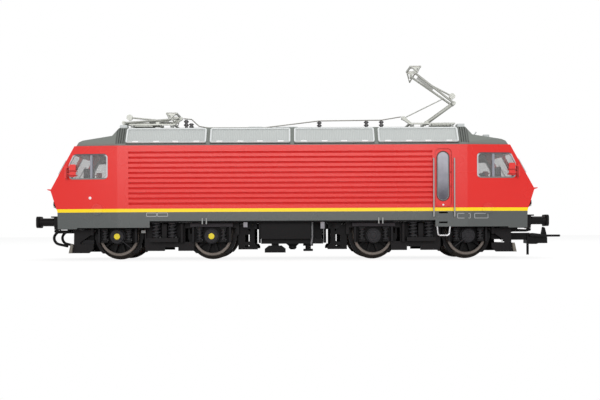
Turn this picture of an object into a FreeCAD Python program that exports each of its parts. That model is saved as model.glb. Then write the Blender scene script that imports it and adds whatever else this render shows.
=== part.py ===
"""Scale model electric locomotive, H0 (1:87), four axles on two bogies.

Frame: origin on the rail heads at the middle of the vehicle, +X towards end 1 (the end with the loop
coupler), +Y to the left of a driver facing +X, +Z up. All lengths are millimetres.
The body is the same seen from either side: what is made at end 1 is turned half round Z for end 2.
"""
import FreeCAD, Part
import math
import os

from FreeCAD import Vector

# ---- driving sizes
LENGTH_OVER_BUFFERS = 182.0
HALF_W = 17.07            # half the body's width
EAVE_Z = 38.8
WHEELBASE = 33.4          # within a bogie
PIVOT_DISTANCE = 90.8     # between bogie centres
TREAD_R = 7.1
NOSE_X = LENGTH_OVER_BUFFERS / 2 - 4.9     # foremost crease of the front

# ---- wheels
BACK_TO_BACK = 14.4       # between the wheels' inner faces
WHEEL_WIDTH = 2.8
FLANGE_WIDTH = 0.8
FLANGE_DEPTH = 1.2
WHEEL_EDGE = 0.2          # chamfer of tread and flange
RIM = 1.25                # thickness of the rim below the tread
HUB_R = 2.1
AXLE_R = 1.0
SPOKES = 10
SPOKE_W = 0.8
DISH = 0.5                # how far the spokes lie behind the rim's face
WHEEL_WEB = 0.8           # thin wall behind the spokes

# ---- body
WALL = 1.0
TAPER_X = NOSE_X - 25.1   # the cab sides draw in from here
TAPER_END_W = HALF_W - 1.97
FLAT_FRONT_W = 8.0        # half width of the front's flat middle
FRONT_SWEEP = math.tan(math.radians(9))
# front outline at the middle of the end: height, distance from the vehicle's middle
FRONT = [
    (9.75, NOSE_X - 2.6), (15.6, NOSE_X - 2.5), (16.8, NOSE_X - 2.2), (19.0, NOSE_X - 1.4),
    (23.4, NOSE_X), (EAVE_Z, NOSE_X - 8.6),
]
NOSE_Z = FRONT[4][0]
# the skirt's lower edge steps down towards the ends: from x, height
SKIRT_MID_Z = 12.45
SKIRT_CAB_X, SKIRT_CAB_Z = NOSE_X - 36.3, 10.15
SKIRT_END_X, SKIRT_END_Z = NOSE_X - 10.6, FRONT[0][0]

# ---- side grooves
GROOVES = 11
GROOVE_TOP_Z = 36.33
GROOVE_PITCH = 1.78
GROOVE_MOUTH = 0.36       # half height at the surface
GROOVE_BED = 0.24         # half height at the bottom
GROOVE_DEPTH = 0.5
GROOVE_X = (29.0 - NOSE_X, NOSE_X - 37.3)

# ---- cab side window, with one corner cut by the front's slope: x, z
CAB_WINDOW = [
    (NOSE_X - 21.7, 27.1), (NOSE_X - 7.8, 27.1), (NOSE_X - 7.8, 32.3),
    (NOSE_X - 9.6, 36.0), (NOSE_X - 21.7, 36.0),
]
CAB_WINDOW_R = 1.4
WINDOW_FRAME_W = 0.45
WINDOW_FRAME_PROUD = 0.08
WINDOW_FRAME_DEEP = 0.7
WINDOW_BAR_X = (NOSE_X - 16.3, NOSE_X - 15.5)
GLASS = 0.5
GLASS_SET_BACK = 0.15
# windscreen pane, half of the front: y, z
SCREEN = [(0.7, 27.2), (HALF_W - 4.2, 27.2), (HALF_W - 4.8, 36.4), (0.7, 36.4)]
SCREEN_R = 1.0

# ---- machine room door
DOOR_X = (NOSE_X - 36.3, NOSE_X - 30.7)
DOOR_Z = (16.76, 37.3)
DOOR_R = 1.3
DOOR_DEPTH = 0.35
DOOR_GLASS_X = (DOOR_X[0] + 0.8, DOOR_X[1] - 0.9)
DOOR_GLASS_Z = (19.3, 36.2)
DOOR_GLASS_R = (DOOR_GLASS_X[1] - DOOR_GLASS_X[0]) / 2 - 0.02
HANDRAIL_X = (DOOR_X[0] - 0.7, DOOR_X[1] + 0.9)
HANDRAIL_Z = (13.8, 33.8)
HANDRAIL_R = 0.24
HANDRAIL_OUT = 0.75
STEP_SLOT_X = (DOOR_X[0] + 1.2, DOOR_X[0] + 4.25)
STEP_SLOT_Z = (15.05, 11.6)
STEP_SLOT_H = 0.6
STIRRUP_Z = 7.1
STIRRUP_TOP_X = (DOOR_X[0] + 0.6, DOOR_X[0] + 5.2)
STIRRUP_LOW_X = (DOOR_X[0] + 1.0, DOOR_X[0] + 4.8)
STIRRUP_R = 0.32
STIRRUP_BEND = 0.8

# ---- small fittings of the body
MIRROR_X = (NOSE_X - 10.6, NOSE_X - 8.4)
MIRROR_Z = (28.0, 32.3)
MIRROR_OUT = 0.9
MIRROR_T = 0.35
MIRROR_ARM_Z = (28.9, 31.2)
HINGE_X = (NOSE_X - 7.6, NOSE_X - 6.7)
HINGE_Z = (27.5, 31.9)
LEDGE_OUT = 1.1
LEDGE_T = 0.3
LAMP_Y = (8.2, 13.2)
LAMP_Z = (17.0, 19.5)
LAMP_OUT = 1.0
TOP_LAMP_W, TOP_LAMP_Z = 1.3, (36.9, 38.6)
WIPER_FOOT, WIPER_TIP = (11.7, 29.4), (11.9, 34.2)     # y, z
WIPER_OUT = 0.95
WIPER_R = 0.2
CAP_X, CAP_Z, CAP_R = NOSE_X - 17.9, 16.5, 1.95
CAP_PROUD, CAP_RIM, CAP_SUNK = 0.32, 0.45, 0.2
LUG_X, LUG_W, LUG_PROUD, LUG_Z = (30.0, 31.4), 0.36, 0.3, (11.3, 13.4)

# ---- roof
ROOF_EDGE_W = HALF_W - 0.47
ROOF_LIP_Z = EAVE_Z + 0.5
DECK_W = ROOF_EDGE_W - 3.4
DECK_Z = 45.5
CROWN_Z = 46.5
CROWN_SHOULDER = (DECK_W / 2, CROWN_Z - 0.2)
DECK_X = NOSE_X - 24.9    # the raised deck ends here
# lower roof over the cab, outline at its side: x, z
CAB_ROOF = [
    (DECK_X, DECK_Z), (DECK_X + 2.1, DECK_Z - 2.8), (DECK_X + 12.2, DECK_Z - 4.5),
    (DECK_X + 13.6, DECK_Z - 5.1), (DECK_X + 14.6, EAVE_Z + 0.1),
]
CAB_ROOF_CROWN = 1.3      # how much higher it is at the middle
GRILLES = 4
GRILLE_END_X = DECK_X - 3.0
GRILLE_GAP = 1.3
GRILLE_Z = (39.75, 45.3)
GRILLE_T = 0.55
GRILLE_BORDER = 0.7
GRILLE_SUNK = 0.2
GRILLE_R = 0.8
RIB_X = (DECK_X - 1.9, DECK_X - 1.1, DECK_X - 0.3)    # upright grooves beside the last grille
RIB_W, RIB_DEPTH = 0.3, 0.25
# low equipment boxes on the deck: x from, x to, half width, height above the crown
DECK_BOXES = [(-16.0, -11.0, 4.5, 0.6), (-6.0, 2.0, 5.5, 0.4)]
CORNER_BOX_X = (DECK_X - 2.6, DECK_X - 0.1)
CORNER_BOX_Y = (DECK_W - 3.8, DECK_W - 0.5)
CORNER_BOX_Z = DECK_Z + 1.15
# conductor along the roof: x, height above the crown, and its posts
ROOF_LINE = [
    (-40.5, 4.4), (-37.4, 4.1), (-34.6, 1.5), (-31.3, 0.95), (-10.0, 0.95), (10.1, 3.35), (33.2, 3.55),
    (40.5, 4.75),
]
ROOF_LINE_R = 0.2
LINE_POSTS = [(-39.4, 3.9), (-37.5, 2.6), (-30.0, 0.75), (10.1, 3.1), (27.6, 3.25), (33.2, 3.3)]
POST_R = 0.9
FOOT_POST_R = 0.8
SHEDS = 3
WHISTLE = [(NOSE_X - 20.6, -6.0, 42.6), (NOSE_X - 19.1, -6.0, 44.6)]
WHISTLE_R = 0.22
AERIAL_X, AERIAL_W, AERIAL_Z = (NOSE_X - 15.0, NOSE_X - 12.9), 0.8, (41.0, 44.4)

# ---- inside the cab
CAB_WALL_X = (NOSE_X - 25.9, NOSE_X - 25.1)
CAB_FLOOR_T = 1.0
CAB_FLOOR_END = NOSE_X - 6.0
CAB_SIDE_GAP = 1.65       # from the rear wall's edge to the body's side
DESK_W = HALF_W - 4.5
DESK = [(NOSE_X - 11.5, 25.6), (NOSE_X - 8.5, 27.0), (NOSE_X - 5.7, 24.0), (NOSE_X - 6.1, 17.6)]
SEAT_X, SEAT_Y, SEAT_Z = (NOSE_X - 16.7, NOSE_X - 12.7), (-8.4, -3.6), (20.0, 21.2)
SEAT_BACK_T, SEAT_BACK_Z = 0.9, 29.6
SEAT_STEM = 0.7           # half width of its post

# ---- chassis inside the body
FLOOR_Z = (15.9, 17.2)    # clears the wheel flanges
FLOOR_GAP = 0.25          # between the floor and the shell
SEAT_BLOCK_Z = 12.4       # underside of the blocks that stand on the bogie springs
SEAT_BLOCK_X = 6.0
SEAT_BLOCK_Y = (11.2, 15.2)
WEIGHT_X, WEIGHT_W, WEIGHT_Z = NOSE_X - 38.1, HALF_W - 4.6, 34.0

# ---- buffers, beam and hook
BEAM_X, BEAM_W, BEAM_Z = NOSE_X - 4.9, HALF_W - 4.1, SKIRT_END_Z + 0.2
BUFFER_Y, BUFFER_Z = 10.05, 12.3
BUFFER_HEAD_T, BUFFER_HEAD_W, BUFFER_HEAD_H, BUFFER_HEAD_R = 0.9, 5.0, 4.1, 1.1
BUFFER_CONE = 0.9
BUFFER_SHANK_R = 1.43
BUFFER_FOOT_X, BUFFER_FOOT_W, BUFFER_FOOT_H = 1.9, 4.2, 3.7
BUFFER_STEP_X, BUFFER_STEP_T = 2.9, 0.45
BUFFER_BLOCK_X, BUFFER_BLOCK_W, BUFFER_BLOCK_H = 1.5, 2.8, 1.0
HOOK_T = 1.0
# hook: x from the beam's face, z
HOOK = [(0.0, 8.3), (3.4, 8.3), (5.0, 8.7), (5.2, 9.4), (4.3, 9.9), (3.4, 9.2), (0.0, 9.4)]
HOOK_BASE_X, HOOK_BASE_W = 2.0, 1.0
HOSE_Y = 4.6
HOSE_R, HOSE_BEND = 0.36, 2.2
# brake hose, from its tap under the beam: distance from the beam's face, z
HOSE = [(-2.0, 9.0), (2.3, 9.0), (4.1, 7.0), (3.1, 4.6), (-1.2, 3.6)]
HOSE_TAP_X, HOSE_TAP_R = -1.8, 0.55

# ---- underfloor between the bogies
BOX_X, BOX_W, BOX_Z = (-11.2, 6.4), HALF_W - 3.5, 6.05
BOX_FOOT_X, BOX_FOOT_W, BOX_FOOT_Z = (-11.2, 10.9), HALF_W - 6.0, 4.3
BOX_TAIL_X, BOX_TAIL_W = 10.4, HALF_W - 9.0      # narrower part at its end
FITTING_Y = -7.3
BELL_X = -6.3
BELL = [(-3.75, 1.1), (3.75, 1.1), (3.75, 2.5), (2.3, 3.6), (1.3, 3.6), (1.3, 4.3), (-1.3, 4.3),
        (-1.3, 3.6), (-2.3, 3.6), (-3.75, 2.5)]      # from its middle, z
BELL_T = 3.4
DRAIN_X, DRAIN_Z = 0.0, 2.2
DRAIN = [(0, 0.8), (0.5, 1.4), (1.2, 1.4), (2.1, 2.4)]
SPOOL_X, SPOOL_Z = 5.6, 1.6
SPOOL = [(0, 1.75), (0.8, 1.75), (0.8, 1.0), (1.9, 1.0), (1.9, 1.8), (2.7, 1.8)]
PIPE_Y, PIPE_R = BOX_FOOT_W + 1.33, 0.35
PIPE = [(6.95, 15.9), (6.95, 6.6), (6.6, 4.0)]      # x, z

# ---- bogies, x counted from the bogie's centre
AXLE_Z = TREAD_R
HALF_BASE = WHEELBASE / 2
SIDE_Y = (10.9, 11.8)     # side plate's inner and outer faces
COVER_FACE_Y = 13.25
COVER_R, COVER_FLANGE, COVER_T = 2.37, 0.3, 0.35
FRAME_END = HALF_BASE + 9.7
BAR_Z = (10.0, 11.9)
GUARD_X, GUARD_Z = 6.9, 4.9         # plate beside each wheel: half length, lower edge
GUARD_RIB_W, GUARD_RIB_OUT, GUARD_RIB_Z = 0.7, 0.8, (5.3, 9.7)
WELL_X, WELL_WALL = HALF_BASE - 9.5, 0.5     # half length of the well round the large springs
WELL_BACK_Y = (10.2, 11.0)
WELL_LOW_Z = 3.2
SPRING_SEAT_Z = 6.5
SHELF_X, SHELF_T = 5.1, 1.4
SPRING_Y = COVER_FACE_Y - 0.35
SECONDARY_X, SECONDARY_R, SECONDARY_TURNS = 2.8, 1.6, 4
PRIMARY_X, PRIMARY_R, PRIMARY_TURNS = 4.2, SPRING_Y - SIDE_Y[1], 4
PRIMARY_LOW_Z = 5.6
PRIMARY_TOP_Z = {1: 9.2, -1: 9.7}   # outer axle, which has the deep skirt beside it, and inner axle
LEDGE_PLATE_T = 0.6
GUIDE_W, GUIDE_TOP = 0.85, 11.5     # post between the large springs
DAMPER_X, DAMPER_R, DAMPER_Z = -6.2, 0.7, (4.9, 11.6)
RIGGING_Y = (10.0, 11.8)
RIGGING_Z = 1.9
RIGGING_X = [(0.3, HALF_BASE - 9.7), (6.3 - HALF_BASE, -4.7)]
CASE_X, CASE_W, CASE_Z = HALF_BASE + 3.8, 5.6, (3.2, 10.1)
END_BEAM_X, END_BEAM_Z = 1.0, 7.6
TONGUE_X, TONGUE_W, TONGUE_Z = 5.4, 4.0, (7.6, 10.0)
PIVOT_R = 3.0
SWIVEL_GAP = 0.3
RUN_GAP = 0.05
# bracket at the bogie's inner end, an open ladder: x back from the end beam, z
LADDER_Y = (9.6, 10.6)
LADDER = [(-0.4, 2.3), (6.5, 2.3), (6.5, 3.2), (5.9, 4.1), (5.4, 4.1), (5.4, 10.9), (3.9, 10.9),
          (3.9, 8.6), (1.2, 11.2), (-0.4, 11.2)]
LADDER_HOLES = [(2.0, 3.6, 5.0, 7.6), (1.9, 3.6, 3.2, 3.7)]     # x, x, z, z
# gusset and rail guard at the outer end: x on from the end beam, z
GUSSET_Y = (10.2, 11.2)
GUSSET = [(-2.0, 9.5), (6.1, 9.5), (6.2, 4.4), (6.7, 1.2), (0.9, 1.2), (-0.8, 2.8), (-0.8, 4.4),
          (3.9, 4.4), (3.9, 5.1), (-1.6, 8.9)]
BACK_PLATE_X, BACK_PLATE_Y, BACK_PLATE_Z = (-0.5, 5.9), (8.9, 9.7), (5.6, 9.5)
BLADE = [(6.2, 4.4), (7.1, 4.4), (7.8, 1.2), (6.7, 1.2)]
BLADE_W = 12.2

# ---- brakes
SHOE_Y = (8.4, 9.9)
SHOE_GAP, SHOE_T = 0.3, 1.1
SHOE_Z = (1.0, 8.0)
SHOE_FROM = 4.0           # from the axle
HANGER_X, HANGER_W = TREAD_R + 0.9, 0.7
HANGER_Z = (6.0, 11.0)
TUBE_X, TUBE_Z, TUBE_R = TREAD_R + 1.8, 10.85, 0.5

# ---- coupler at end 1
COUPLER_Z = 6.8
COUPLER_PIVOT_X = NOSE_X - 7.1
PIVOT_PIN_R, PIVOT_CAP_R, EYE_R = 0.7, 1.3, 1.7
BAIL_PIVOT_X = COUPLER_PIVOT_X + 8.6
COUPLER_TIP_X = COUPLER_PIVOT_X + 19.6
SHAFT_W, SHAFT_LOW, SHAFT_HIGH = 1.6, 1.5, 1.1
# coupler head and its hook fin: x from the bail's pivot, z from the coupler's height
HEAD_W = 1.1
HEAD = [(-0.9, -2.8), (0.8, -3.1), (2.8, -3.1), (3.6, -2.8), (6.9, -2.8), (6.8, 0.4), (4.8, 0.6),
        (1.6, 1.0), (-0.4, 0.8), (-0.9, -0.6)]
FIN_W = 0.7
FIN = [(4.9, 0.3), (6.8, 0.3), (6.2, 2.9), (5.5, 3.3)]
CHEEK_Y = (1.5, 2.1)
CHEEK_X, CHEEK_Z = (-1.0, 1.6), (-2.8, 0.8)
RELEASE_PIN_X, RELEASE_PIN_R, RELEASE_PIN_Z = -0.1, 0.45, -0.25
BAIL_W, BAIL_R = 2.9, 0.4
MOUNT_X, MOUNT_W = 2.2, 2.4

# ---- pantograph raised, x and z in the plane of its arms
PAN_BASE = (49.2, CROWN_Z + 1.85)
PAN_KNEE = (PAN_BASE[0] + 10.6, PAN_BASE[1] + 7.6)
PAN_HEAD = (PAN_BASE[0] - 4.1, PAN_BASE[1] + 18.45)
PAN_ROD = (PAN_BASE[0] - 7.9, PAN_BASE[1] + 2.358)
ROD_SHARE = 0.21          # where the rod meets the upper arm
FOLD_LOWER = 32.4         # degrees that the lower arm drops
FOLD_UPPER = 33.5         # degrees that the upper arm drops
PAN_FRAME_X = (PAN_BASE[0] - 6.8, PAN_BASE[0] + 10.0)
PAN_FRAME_W = 6.6
PAN_FRAME_Z = (CROWN_Z + 1.0, CROWN_Z + 1.5)
FRAME_BAR = 0.8
HOUSING_X, HOUSING_Y, HOUSING_Z = PAN_BASE[0] + 2.2, (1.0, 3.0), CROWN_Z + 1.9
LOWER_R = 0.7
BASE_SHAFT_R, BASE_SHAFT_W = 0.45, 4.0
BEARING_Y, BEARING_X, BEARING_TOP = (4.1, 4.9), 0.6, 0.6
KNEE_R, KNEE_W = 0.8, 1.3
LEG_R, LEG_KNEE_Y, LEG_HEAD_Y = 0.4, 1.85, 3.6
LUG_R, LUG_Y = 0.7, (1.45, 2.2)
WEB_SHARE, WEB_T = (0.5, 0.9), 0.24
WEB_FAR_Y = 0.7
HEAD_SHAFT_R, HEAD_SHAFT_Y = 0.3, (3.0, 4.7)
KNOB = (-0.2, 2.85)       # from the knee
KNOB_R, KNOB_W, STAY_R = 1.1, 0.5, 0.3
STRIP_X = (-1.6, 1.9)     # from the head's pivot
STRIP_W, STRIP_LONG, STRIP_Z = 0.35, 4.6, (1.9, 2.4)
HORN_TIP, HORN_R = (0.15, 8.5, -0.8), 0.26
LINK_Y, LINK_W = (4.05, 4.6), 0.5
ROD_Y, ROD_R, ROD_EYE_R, ROD_PIN_R = 1.15, 0.2, 0.55, 0.25
ROD_BRACKET_Y = (-0.4, 0.6)
ROD_BRACKET = [(2.9, -3.2), (3.5, -3.2), (3.5, -2.0), (0.4, 0.7), (-0.5, 0.7), (-0.5, -0.3), (2.3, -2.2)]

XZ, XY, YZ = "xz", "xy", "yz"
ENDS = (1, -1)


# ---- shapes
def lift(plane, a, b, c):
    """Point with a, b in the plane and c along its normal."""
    return {XZ: Vector(a, c, b), XY: Vector(a, b, c), YZ: Vector(c, a, b)}[plane]


def box(x0, x1, y0, y1, z0, z1):
    return Part.makeBox(x1 - x0, y1 - y0, z1 - z0, Vector(x0, y0, z0))


def round_corners(points, radius):
    """For every corner of a closed outline, the ends and the middle of its arc."""
    corners = []
    for i, point in enumerate(points):
        p = Vector(*point, 0)
        before = (Vector(*points[i - 1], 0) - p).normalize()
        after = (Vector(*points[(i + 1) % len(points)], 0) - p).normalize()
        half = before.getAngle(after) / 2
        cut = radius / math.tan(half)
        centre = p + (before + after).normalize() * (radius / math.sin(half))
        middle = centre + (p - centre).normalize() * radius
        corners.append((p + before * cut, middle, p + after * cut))
    return corners


def plate(points, plane, start, end, radius=0.0):
    """An outline in a plane, thickened from start to end along the plane's normal."""
    if radius:
        corners = round_corners(points, radius)
        edges = []
        for i, (first, middle, last) in enumerate(corners):
            spots = [lift(plane, q.x, q.y, start) for q in (first, middle, last)]
            edges.append(Part.Arc(*spots).toShape())
            following = corners[(i + 1) % len(corners)][0]
            target = lift(plane, following.x, following.y, start)
            if spots[2].distanceToPoint(target) > 1e-6:
                edges.append(Part.makeLine(spots[2], target))
        wire = Part.Wire(edges)
    else:
        wire = Part.makePolygon([lift(plane, a, b, start) for a, b in points + points[:1]])
    run = lift(plane, 0, 0, end) - lift(plane, 0, 0, start)
    return Part.Face(wire).extrude(run)


def oblong(x0, x1, z0, z1):
    return [(x0, z0), (x1, z0), (x1, z1), (x0, z1)]


def placed(points, x=0.0, z=0.0):
    """Outline points moved in their plane."""
    return [(a + x, b + z) for a, b in points]


def cylinder(start, end, radius):
    start, end = Vector(*start), Vector(*end)
    return Part.makeCylinder(radius, (end - start).Length, start, end - start)


def rod(points, radius):
    """A round bar through the points, with ball corners."""
    pieces = [cylinder(a, b, radius) for a, b in zip(points, points[1:])]
    pieces += [Part.makeSphere(radius, Vector(*p)) for p in points[1:-1]]
    return fuse(pieces)


def hose(points, radius, bend):
    """A round hose through the points, each corner an arc of the bend radius."""
    spots = [Vector(*p) for p in points]
    edges, last = [], spots[0]
    for before, p, after in zip(spots, spots[1:], spots[2:]):
        back, on = (before - p).normalize(), (after - p).normalize()
        half = back.getAngle(on) / 2
        cut = bend / math.tan(half)
        centre = p + (back + on).normalize() * (bend / math.sin(half))
        middle = centre + (p - centre).normalize() * bend
        edges.append(Part.makeLine(last, p + back * cut))
        edges.append(Part.Arc(p + back * cut, middle, p + on * cut).toShape())
        last = p + on * cut
    edges.append(Part.makeLine(last, spots[-1]))
    path = Part.Wire(edges)
    ring = Part.Wire(Part.makeCircle(radius, spots[0], spots[1] - spots[0]))
    return path.makePipeShell([ring], True, True)


def turned(profile, centre, axis):
    """A body of revolution: profile rows are (distance along the axis, radius)."""
    flat = [Vector(0, 0, profile[0][0])]
    flat += [Vector(r, 0, along) for along, r in profile]
    flat += [Vector(0, 0, profile[-1][0]), flat[0]]
    solid = Part.Face(Part.makePolygon(flat)).revolve(Vector(), Vector(0, 0, 1), 360)
    turn = FreeCAD.Rotation(Vector(0, 0, 1), Vector(*axis))
    solid.Placement = FreeCAD.Placement(Vector(*centre), turn)
    return solid


def fuse(pieces):
    pieces = list(pieces)
    return pieces[0] if len(pieces) == 1 else pieces[0].multiFuse(pieces[1:])


def half_turn(shape):
    copy = shape.copy()
    copy.rotate(Vector(), Vector(0, 0, 1), 180)
    return copy


def mirror_x(shape):
    return shape.mirror(Vector(), Vector(1, 0, 0))


def mirror_y(shape):
    return shape.mirror(Vector(), Vector(0, 1, 0))


def both_sides(shape):
    return [shape, mirror_y(shape)]


def four(shape):
    """The shape at both sides of both ends."""
    sides = both_sides(shape)
    return sides + [mirror_x(s) for s in sides]


def both_ends(shape):
    return [shape, half_turn(shape)]


def each_end(shapes):
    return [copy for shape in shapes for copy in both_ends(shape)]


def side_range(side, near_far):
    """A pair of distances from the middle as a rising Y range on one side."""
    return sorted((side * near_far[0], side * near_far[1]))


def moved(shape, x=0.0, y=0.0, z=0.0):
    copy = shape.copy()
    copy.translate(Vector(x, y, z))
    return copy


def write(node, shapes):
    """One STEP file: the solids of a node."""
    shapes = shapes if isinstance(shapes, list) else [shapes]
    solids = [solid for shape in shapes for solid in shape.Solids]
    Part.makeCompound(solids).exportStep(f"parts/{node}.step")


# ---- body
def front_x(z):
    """The front's distance from the middle of the vehicle at a height."""
    for (z0, x0), (z1, x1) in zip(FRONT, FRONT[1:]):
        if z <= z1:
            return x0 + (x1 - x0) * (z - z0) / (z1 - z0)
    return FRONT[-1][1]


def side_w(x):
    """Half the body's width at a distance from its middle."""
    if x <= TAPER_X:
        return HALF_W
    return HALF_W - (HALF_W - TAPER_END_W) * (x - TAPER_X) / (NOSE_X - TAPER_X)


def body_half(inset):
    """The body block from the middle to end 1, drawn in by inset."""
    low = SKIRT_END_Z - WALL
    far = NOSE_X + HALF_W
    plan = [(x, inset - side_w(x)) for x in (0, TAPER_X, far)]
    plan += [(x, -y) for x, y in reversed(plan)]
    block = plate(plan, XY, low, EAVE_Z)
    for edge, slope in ((0, 0), (FLAT_FRONT_W, FRONT_SWEEP), (-FLAT_FRONT_W, -FRONT_SWEEP)):
        start = Vector(slope * (edge + 2 * HALF_W), -2 * HALF_W, 0)
        rows = [(low, FRONT[0][1])] + FRONT
        face = [Vector(x - inset, 0, z) + start for z, x in rows]
        back = Vector(-2 * HALF_W, -2 * HALF_W, 0)
        face += [back + Vector(0, 0, EAVE_Z), back + Vector(0, 0, low)]
        sweep = Vector(-slope * 4 * HALF_W, 4 * HALF_W, 0)
        wedge = Part.Face(Part.makePolygon(face + face[:1])).extrude(sweep)
        block = block.common(wedge)
    return block


def body_block(inset):
    half = body_half(inset)
    return half.fuse(mirror_x(half)).removeSplitter()


def groove_cutters():
    """The near side's long grooves; half turned they are the far side's."""
    cutters = []
    bed, outside = GROOVE_DEPTH - HALF_W, -HALF_W - 1
    for row in range(GROOVES):
        z = GROOVE_TOP_Z - row * GROOVE_PITCH
        outline = [
            (outside, z - GROOVE_MOUTH), (-HALF_W, z - GROOVE_MOUTH), (bed, z - GROOVE_BED),
            (bed, z + GROOVE_BED), (-HALF_W, z + GROOVE_MOUTH), (outside, z + GROOVE_MOUTH),
        ]
        cutters.append(plate(outline, YZ, *GROOVE_X))
    return cutters


def window_cutter():
    return plate(CAB_WINDOW, XZ, -HALF_W - 2, 2 * WALL - TAPER_END_W, CAB_WINDOW_R)


def screen_cutter():
    return plate(SCREEN, YZ, front_x(SCREEN[2][1]) - 4 * WALL, NOSE_X + 2, SCREEN_R)


def door_glass_outline():
    return oblong(*DOOR_GLASS_X, *DOOR_GLASS_Z)


def body_shell():
    shell = body_block(0).cut(body_block(WALL))
    low = SKIRT_END_Z - 2 * WALL
    trims = []
    for x, z in ((SKIRT_CAB_X, SKIRT_MID_Z), (SKIRT_END_X, SKIRT_CAB_Z), (2 * NOSE_X, SKIRT_END_Z)):
        trims.append(box(-x, x, -2 * HALF_W, 2 * HALF_W, low, z))
    trims += each_end(groove_cutters())
    trims += four(window_cutter()) + four(screen_cutter())
    recess = plate(oblong(*DOOR_X, *DOOR_Z), XZ, -HALF_W - 1, DOOR_DEPTH - HALF_W, DOOR_R)
    opening = plate(door_glass_outline(), XZ, -HALF_W - 1, 2 * WALL - HALF_W, DOOR_GLASS_R)
    trims += both_ends(recess) + both_ends(opening)
    half = STEP_SLOT_H / 2
    for z in STEP_SLOT_Z:
        slot = box(*STEP_SLOT_X, -HALF_W - 1, 2 * WALL - HALF_W, z - half, z + half)
        trims += both_ends(slot)
    return shell.cut(trims)


def drawn_in(points, margin):
    """An outline's points moved towards its middle by a margin."""
    centre = [sum(p[i] for p in points) / len(points) for i in (0, 1)]
    spans = [max(abs(p[i] - centre[i]) for p in points) for i in (0, 1)]
    return [
        tuple(centre[i] + (p[i] - centre[i]) * (1 - margin / spans[i]) for i in (0, 1))
        for p in points
    ]


def side_slab(outset, inset):
    """The near cab side's skin between two depths, as a solid."""
    line = [(x, side_w(x)) for x in (TAPER_X, NOSE_X)]
    outline = [(x, -w - outset) for x, w in line] + [(x, inset - w) for x, w in reversed(line)]
    return plate(outline, XY, SKIRT_END_Z, EAVE_Z)


def window_plate(points, radius):
    return plate(points, XZ, -HALF_W - 2, 2 * WALL - TAPER_END_W, radius)


def window_bar():
    return box(*WINDOW_BAR_X, -HALF_W - 2, 2 * WALL - TAPER_END_W, CAB_WINDOW[0][1], CAB_WINDOW[-1][1])


def cab_window_frames():
    whole = window_plate(CAB_WINDOW, CAB_WINDOW_R)
    opening = window_plate(drawn_in(CAB_WINDOW, WINDOW_FRAME_W), CAB_WINDOW_R - WINDOW_FRAME_W / 2)
    frame = whole.cut(opening).fuse(whole.common(window_bar()))
    return four(frame.common(side_slab(WINDOW_FRAME_PROUD, WINDOW_FRAME_DEEP)).removeSplitter())


def cab_side_glass():
    opening = window_plate(drawn_in(CAB_WINDOW, WINDOW_FRAME_W), CAB_WINDOW_R - WINDOW_FRAME_W / 2)
    panes = opening.cut(window_bar()).common(side_slab(-GLASS_SET_BACK, GLASS_SET_BACK + GLASS))
    return four(panes)


def swept_slab(outline):
    """A slab behind the front's swept corner, on the far side, from an outline at its inner edge."""
    reach = HALF_W - FLAT_FRONT_W
    face = [Vector(x, FLAT_FRONT_W, z) for x, z in outline]
    run = Vector(-FRONT_SWEEP * reach, reach, 0)
    return Part.Face(Part.makePolygon(face + face[:1])).extrude(run)


def windscreens():
    """Panes set a little back in the front's openings."""
    outline = [(front_x(z) - GLASS_SET_BACK, z) for z in (SCREEN[0][1] - WALL, SCREEN[2][1] + WALL)]
    outline += [(x - GLASS, z) for x, z in reversed(outline)]
    slab = plate(outline, XZ, 0, FLAT_FRONT_W).fuse(swept_slab(outline))
    return four(slab.common(screen_cutter()).removeSplitter())


def door_glass():
    start, end = -HALF_W + DOOR_DEPTH + 0.1, -HALF_W + WALL - 0.1
    return both_ends(plate(door_glass_outline(), XZ, start, end, DOOR_GLASS_R))


def door_handrails():
    rails = []
    out = -HALF_W - HANDRAIL_OUT
    for x in HANDRAIL_X:
        low, high = HANDRAIL_Z
        points = [(x, -HALF_W, low), (x, out, low), (x, out, high), (x, -HALF_W, high)]
        rails += both_ends(rod(points, HANDRAIL_R))
    return rails


def door_stirrups():
    """A bent wire step that hangs below the skirt under each door."""
    y = WALL / 2 - HALF_W
    (x0, x1), (x2, x3) = STIRRUP_TOP_X, STIRRUP_LOW_X
    top = SKIRT_CAB_Z + 2 * STIRRUP_R
    points = [(x0, y, top), (x2, y, STIRRUP_Z), (x3, y, STIRRUP_Z), (x1, y, top)]
    above = box(0, NOSE_X, -2 * HALF_W, 0, SKIRT_CAB_Z, EAVE_Z)
    return both_ends(hose(points, STIRRUP_R, STIRRUP_BEND).cut(above))


def side_mirrors():
    """Folding mirror plates on two arms from a hinge block, at both sides of both ends."""
    y = -side_w(MIRROR_X[1]) - MIRROR_OUT
    mirror = plate(oblong(*MIRROR_X, *MIRROR_Z), XZ, y - MIRROR_T, y, MIRROR_T)
    arms = [box(MIRROR_X[1] - MIRROR_T, HINGE_X[1], y - MIRROR_T, y, z, z + MIRROR_T) for z in MIRROR_ARM_Z]
    hinge = box(*HINGE_X, y - MIRROR_T, -side_w(HINGE_X[1]) + WALL / 2, *HINGE_Z)
    return four(fuse([mirror, hinge] + arms).cut(body_block(0)))


def nose_ledges():
    """The thin ledge across each front at its foremost crease."""
    tip = NOSE_X + LEDGE_OUT
    profile = [
        (NOSE_X - LEDGE_T, NOSE_Z - LEDGE_T), (tip, NOSE_Z + LEDGE_T / 2), (tip, NOSE_Z + 1.5 * LEDGE_T),
        (NOSE_X - LEDGE_T, NOSE_Z + 1.2 * LEDGE_T),
    ]
    middle = plate(profile, XZ, -FLAT_FRONT_W, FLAT_FRONT_W)
    wing = swept_slab(profile).common(box(0, 2 * NOSE_X, 0, TAPER_END_W, 0, EAVE_Z))
    return both_ends(fuse([middle] + both_sides(wing)).removeSplitter().cut(body_block(0)))


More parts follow.
